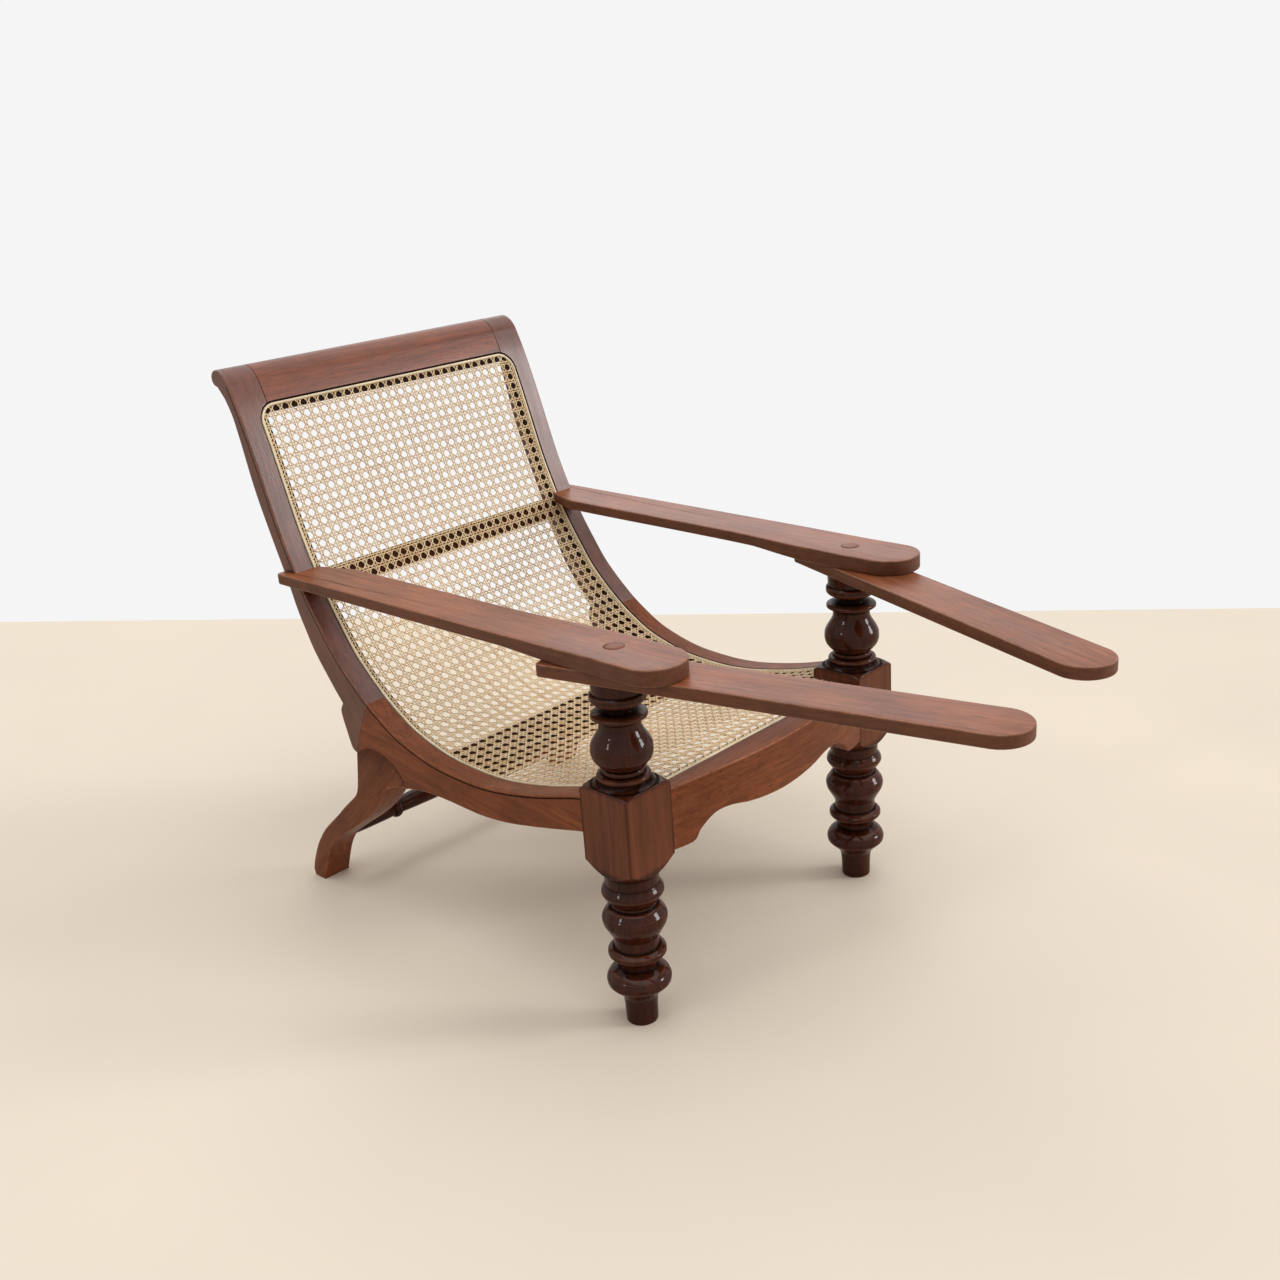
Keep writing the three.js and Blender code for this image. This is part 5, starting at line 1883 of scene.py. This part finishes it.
    def strands(self, way: Strand) -> Shell:
        """All strands of one way.

        A strand's section is flat below and crowned above, five points set square to its run.

        Args:
            way: Which way they run.

        Returns:
            The strands as closed tubes, cut where they leave the sheet.
        """
        across, along, rise = self.paths(way)
        diagonal = math.sqrt(0.5)
        aside = {
            Strand.ALONG: (1.0, 0.0), Strand.ACROSS: (0.0, 1.0),
            Strand.RISING: (-diagonal, diagonal), Strand.FALLING: (diagonal, diagonal),
        }[way]
        # the section's third column is painted shade on the strand's sides and underside
        side, up, dark = np.array(self.section).T
        side = side * (self.width if way in (Strand.ALONG, Strand.ACROSS) else self.diagonal_width)
        good = self.kept(across, along)
        rng = np.random.default_rng(self.seed + list(Strand).index(way))
        mean, between, within = self.tone
        tone = rng.normal(mean, between, (len(across), 1)) + rng.normal(0.0, within, across.shape)
        places = SEAT.place(
            across[..., None] + side * aside[0], along[..., None] + side * aside[1],
            self.level + rise[..., None] + up * self.thickness,
        )
        shell = Shell()
        index = shell.add_points(places, tone=tone[..., None], crease=dark)
        both = good[:, :-1] & good[:, 1:]
        shell.add_quads(index, False, True, np.broadcast_to(both[..., None], (*both.shape, len(side))))
        outside = np.zeros((len(across), 1), bool)
        starts = both & ~np.concatenate([outside, both[:, :-1]], axis=1)
        ends = both & ~np.concatenate([both[:, 1:], outside], axis=1)
        shell.faces.append(index[:, :-1][starts])
        shell.faces.append(index[:, 1:][ends][:, ::-1])
        return shell

    def build(self) -> None:
        """Builds and dresses the four sets of strands."""
        material = Cane().material()
        for way in Strand:
            made = self.strands(way).build(f"cane_{way.value}", self.sharp_angle)
            dress(made, material, "cane_panel")


@dataclass(frozen=True)
class Splines:
    """The reed splines pressed into the groove round the cane.

    A half-round section is carried along a path laid on the seat surface. A point of the section is
    its place across in half widths and its height in thicknesses.
    """

    margin: float = 2.4
    width: float = 4.0
    thickness: float = 3.5
    base: float = -3.7
    block: float = 222.6
    sharp_angle: float = 60.0
    section: tuple = (
        (-1.0, 0.0), (-1.0, 0.7), (-0.8, 0.9), (-0.3, 1.0), (0.3, 1.0), (0.8, 0.9), (1.0, 0.7), (1.0, 0.0),
    )
    side_points: int = 320
    corner_points: int = 24
    top_points: int = 140
    front_points: int = 120

    def run(self, name: str, node: str, across: np.ndarray, along: np.ndarray, grain: Triple) -> None:
        """One spline along a path.

        Args:
            name: The piece's name.
            node: The node it stands for.
            across: Places across of the path's points.
            along: Lengths along of the path's points.
            grain: The direction of its grain.
        """
        step = np.stack([np.gradient(across), np.gradient(along)], axis=1)
        step /= np.linalg.norm(step, axis=1, keepdims=True)
        side, up = np.array(self.section).T * np.array([[self.width / 2.0], [self.thickness]])
        shell = Shell()
        shell.add_tube(SEAT.place(
            across[:, None] + side * step[:, 1:], along[:, None] - side * step[:, :1], self.base + up,
        ))
        made = shell.build(name, self.sharp_angle)
        dress(made, SPLINE_WOOD.material(grain, name), node)

    def build(self) -> None:
        """Builds and dresses the four splines."""
        inset = self.margin + self.width / 2.0
        corner_height = OPENING.top_height - OPENING.corner
        start, end = SEAT.at_reach(SideFrame.rail_start + self.margin), SEAT.at_height(corner_height)
        along = np.linspace(start, end, self.side_points)
        for side in Side:
            across = np.full(len(along), side.value * (OPENING.edge - inset))
            self.run(f"spline_{side.word}", f"cane_spline_{side.word}", across, along, (0.0, 1.0, 0.3))
        centre = (OPENING.edge - OPENING.corner, corner_height)
        turn = arc(centre, OPENING.corner - inset, 0.0, 90.0, self.corner_points)
        other = turn[::-1] * np.array([-1.0, 1.0])
        top = even_steps(np.stack([turn[-1], other[0]]), self.top_points)[1:-1]
        path = np.concatenate([turn, top, other])
        self.run("spline_top", "cane_spline_top", path[:, 0], SEAT.at_height(path[:, 1]), CROSS_GRAIN)
        across = np.linspace(-self.block, self.block, self.front_points)
        front = np.full(len(across), SEAT.at_reach(OPENING.front + inset))
        self.run("spline_front", "cane_spline_front", across, front, CROSS_GRAIN)


@dataclass(frozen=True)
class HiddenPins:
    """The dowels and pegs inside the joints, which keep their CAD meshes."""

    words: tuple[str, ...] = ("dowel", "peg")

    def build(self) -> None:
        """Gives each pin its finish."""
        material = DOWEL_WOOD.material((0.0, 1.0, 0.0))
        for name, node in frame["nodes"].items():
            if any(word in name for word in self.words):
                node.data.materials.clear()
                node.data.materials.append(material)
                log.info("%s keeps its mesh", name)


# The room, the light and the camera


@dataclass(frozen=True)
class Room:
    """A plain pale floor that ends at the wall's foot, with a white wall behind it."""

    floor_colour: Triple = (0.80, 0.715, 0.60)
    floor_roughness: float = 0.9
    cloud_shade: float = 0.96
    cloud_noise: tuple[float, float] = (1.3, 3.0)
    cloud_places: tuple[float, float] = (0.3, 0.7)
    wall_colour: Triple = (0.915, 0.915, 0.918)
    soft_colour: Triple = (1.0, 0.94, 0.86)
    soft_strength: float = 0.26
    line_left: tuple[float, float] = (0.0, 622.0)
    line_right: tuple[float, float] = (1280.0, 608.0)
    floor_side: float = 6000.0
    floor_depth: float = 9000.0

    def lay_floor(self, camera: "Viewpoint") -> None:
        """Lays the floor.

        Its far edge is the line where the camera's rays through two points of the photo's wall line
        meet the ground.

        Args:
            camera: The viewpoint.
        """
        left, right = camera.floor_point(self.line_left), camera.floor_point(self.line_right)
        run = (right - left) / np.linalg.norm(right - left)
        nearer = self.floor_depth * np.array([run[1], -run[0]])
        a, b = left - run * self.floor_side, right + run * self.floor_side
        corners = np.array([[*corner, 0.0] for corner in (a, a + nearer, b + nearer, b)])
        mesh = bpy.data.meshes.new("floor")
        mesh.from_pydata(DATUM.to_row(corners).tolist(), [], [(0, 1, 2, 3)])
        floor = put("floor", mesh)
        g = Graph(bpy.data.materials.new("pale_floor"))
        shade = tuple(self.cloud_shade * c for c in self.floor_colour)
        tones = zip(self.cloud_places, (shade, self.floor_colour))
        cloud = g.ramp(g.noise(g.place(), *self.cloud_noise), *tones)
        finish = {"Base Color": cloud, "Roughness": self.floor_roughness, "Specular IOR Level": 0.0}
        mesh.materials.append(g.surface(finish))

    def light_world(self) -> None:
        """Makes the world: seen by the camera and in polish it is the wall, and elsewhere a soft light."""
        world = bpy.data.worlds.new("studio")
        bpy.context.scene.world = world
        g = Graph(world)
        path = g.node("ShaderNodeLightPath")
        shown = path.outputs["Is Camera Ray"]
        for name in ("Is Glossy Ray", "Is Transmission Ray"):
            shown = g.combine(shown, path.outputs[name], "MAXIMUM")
        soft, wall = (
            g.node("ShaderNodeBackground", {"Color": opaque(colour), "Strength": strength}).outputs[0]
            for colour, strength in ((self.soft_colour, self.soft_strength), (self.wall_colour, 1.0))
        )
        mixed = g.node("ShaderNodeMixShader", {0: shown, 1: soft, 2: wall})
        g.node("ShaderNodeOutputWorld", {"Surface": mixed.outputs[0]})


@dataclass(frozen=True)
class Window:
    """A far, broad and soft light, which lights a face turned to it by a share of white."""

    name: str
    toward: Triple
    share: float
    breadth: float

    def build(self) -> None:
        """Adds the light."""
        data = bpy.data.lights.new(self.name, "SUN")
        data.energy, data.angle = self.share * math.pi, math.radians(self.breadth)
        lamp = put(self.name, data)
        lamp.rotation_euler = Vector(self.toward).to_track_quat("Z", "Y").to_euler()


WINDOWS = (
    Window("right_window", (0.65, -0.7, 0.31), 0.42, 16.0),
    Window("left_window", (-0.8, 0.2, 0.45), 0.07, 8.0),
    Window("rear_window", (0.65, 0.6, 0.45), 0.07, 32.0),
    Window("ceiling", (0.1, -0.1, 1.0), 0.68, 85.0),
)


@dataclass(frozen=True)
class Viewpoint:
    """The photo's camera, found from the chair's own edges."""

    place: Triple = (-1546.6, -1315.4, 1262.0)
    yaw: float = 45.26
    pitch: float = 20.05
    roll: float = -4.1
    focal: float = 1453.2
    image: float = 1280.0
    sensor: float = 36.0
    clip_near: float = 0.05
    clip_far: float = 60.0

    def axes(self) -> np.ndarray:
        """Rows: the image's right, its up, and the way the camera looks.

        Returns:
            (3, 3), each row of unit length.
        """
        yaw, pitch, roll = (math.radians(a) for a in (self.yaw, self.pitch, self.roll))
        look = np.array([math.cos(pitch) * math.sin(yaw), math.cos(pitch) * math.cos(yaw), -math.sin(pitch)])
        level = np.cross(look, [0.0, 0.0, 1.0])
        level /= np.linalg.norm(level)
        up = np.cross(level, look)
        c, s = math.cos(roll), math.sin(roll)
        return np.stack([c * level + s * up, c * up - s * level, look])

    def floor_point(self, pixel: tuple[float, float]) -> np.ndarray:
        """The floor's (x, y) seen at a pixel of the photo.

        Args:
            pixel: Its column and row.

        Returns:
            Its (x, y) in millimetres about the datum.
        """
        right, up, look = self.axes()
        ray = look * self.focal + right * (pixel[0] - self.image / 2) - up * (pixel[1] - self.image / 2)
        place = np.array(self.place)
        return (place - ray * place[2] / ray[2])[:2]

    def build(self) -> None:
        """Adds the camera."""
        data = bpy.data.cameras.new("viewpoint")
        data.sensor_width = self.sensor
        data.lens = self.focal / self.image * self.sensor
        data.clip_start, data.clip_end = self.clip_near, self.clip_far
        camera = put("viewpoint", data)
        right, up, look = self.axes()
        matrix = np.eye(4)
        matrix[:3, :3] = np.stack([right, up, -look], axis=1)
        matrix[:3, 3] = DATUM.to_row(np.array(self.place))
        camera.matrix_world = Matrix(matrix.tolist())
        bpy.context.scene.camera = camera


def main() -> None:
    """Builds the camera, the room, the windows and the chair."""
    logging.basicConfig(level=logging.INFO, format="%(message)s")
    bpy.context.scene.view_settings.view_transform = "Standard"
    camera = Viewpoint()
    camera.build()
    room = Room()
    room.lay_floor(camera)
    room.light_world()
    for window in WINDOWS:
        window.build()
    for side in Side:
        SideFrame(side).build()
        FrontLeg(side).build()
        Arm(side).build()
        LegRestBoard(side).build()
    CrossMembers(SideFrame(Side.LEFT)).build()
    CaneWeave().build()
    Splines().build()
    HiddenPins().build()


if __name__ == "__main__":
    main()
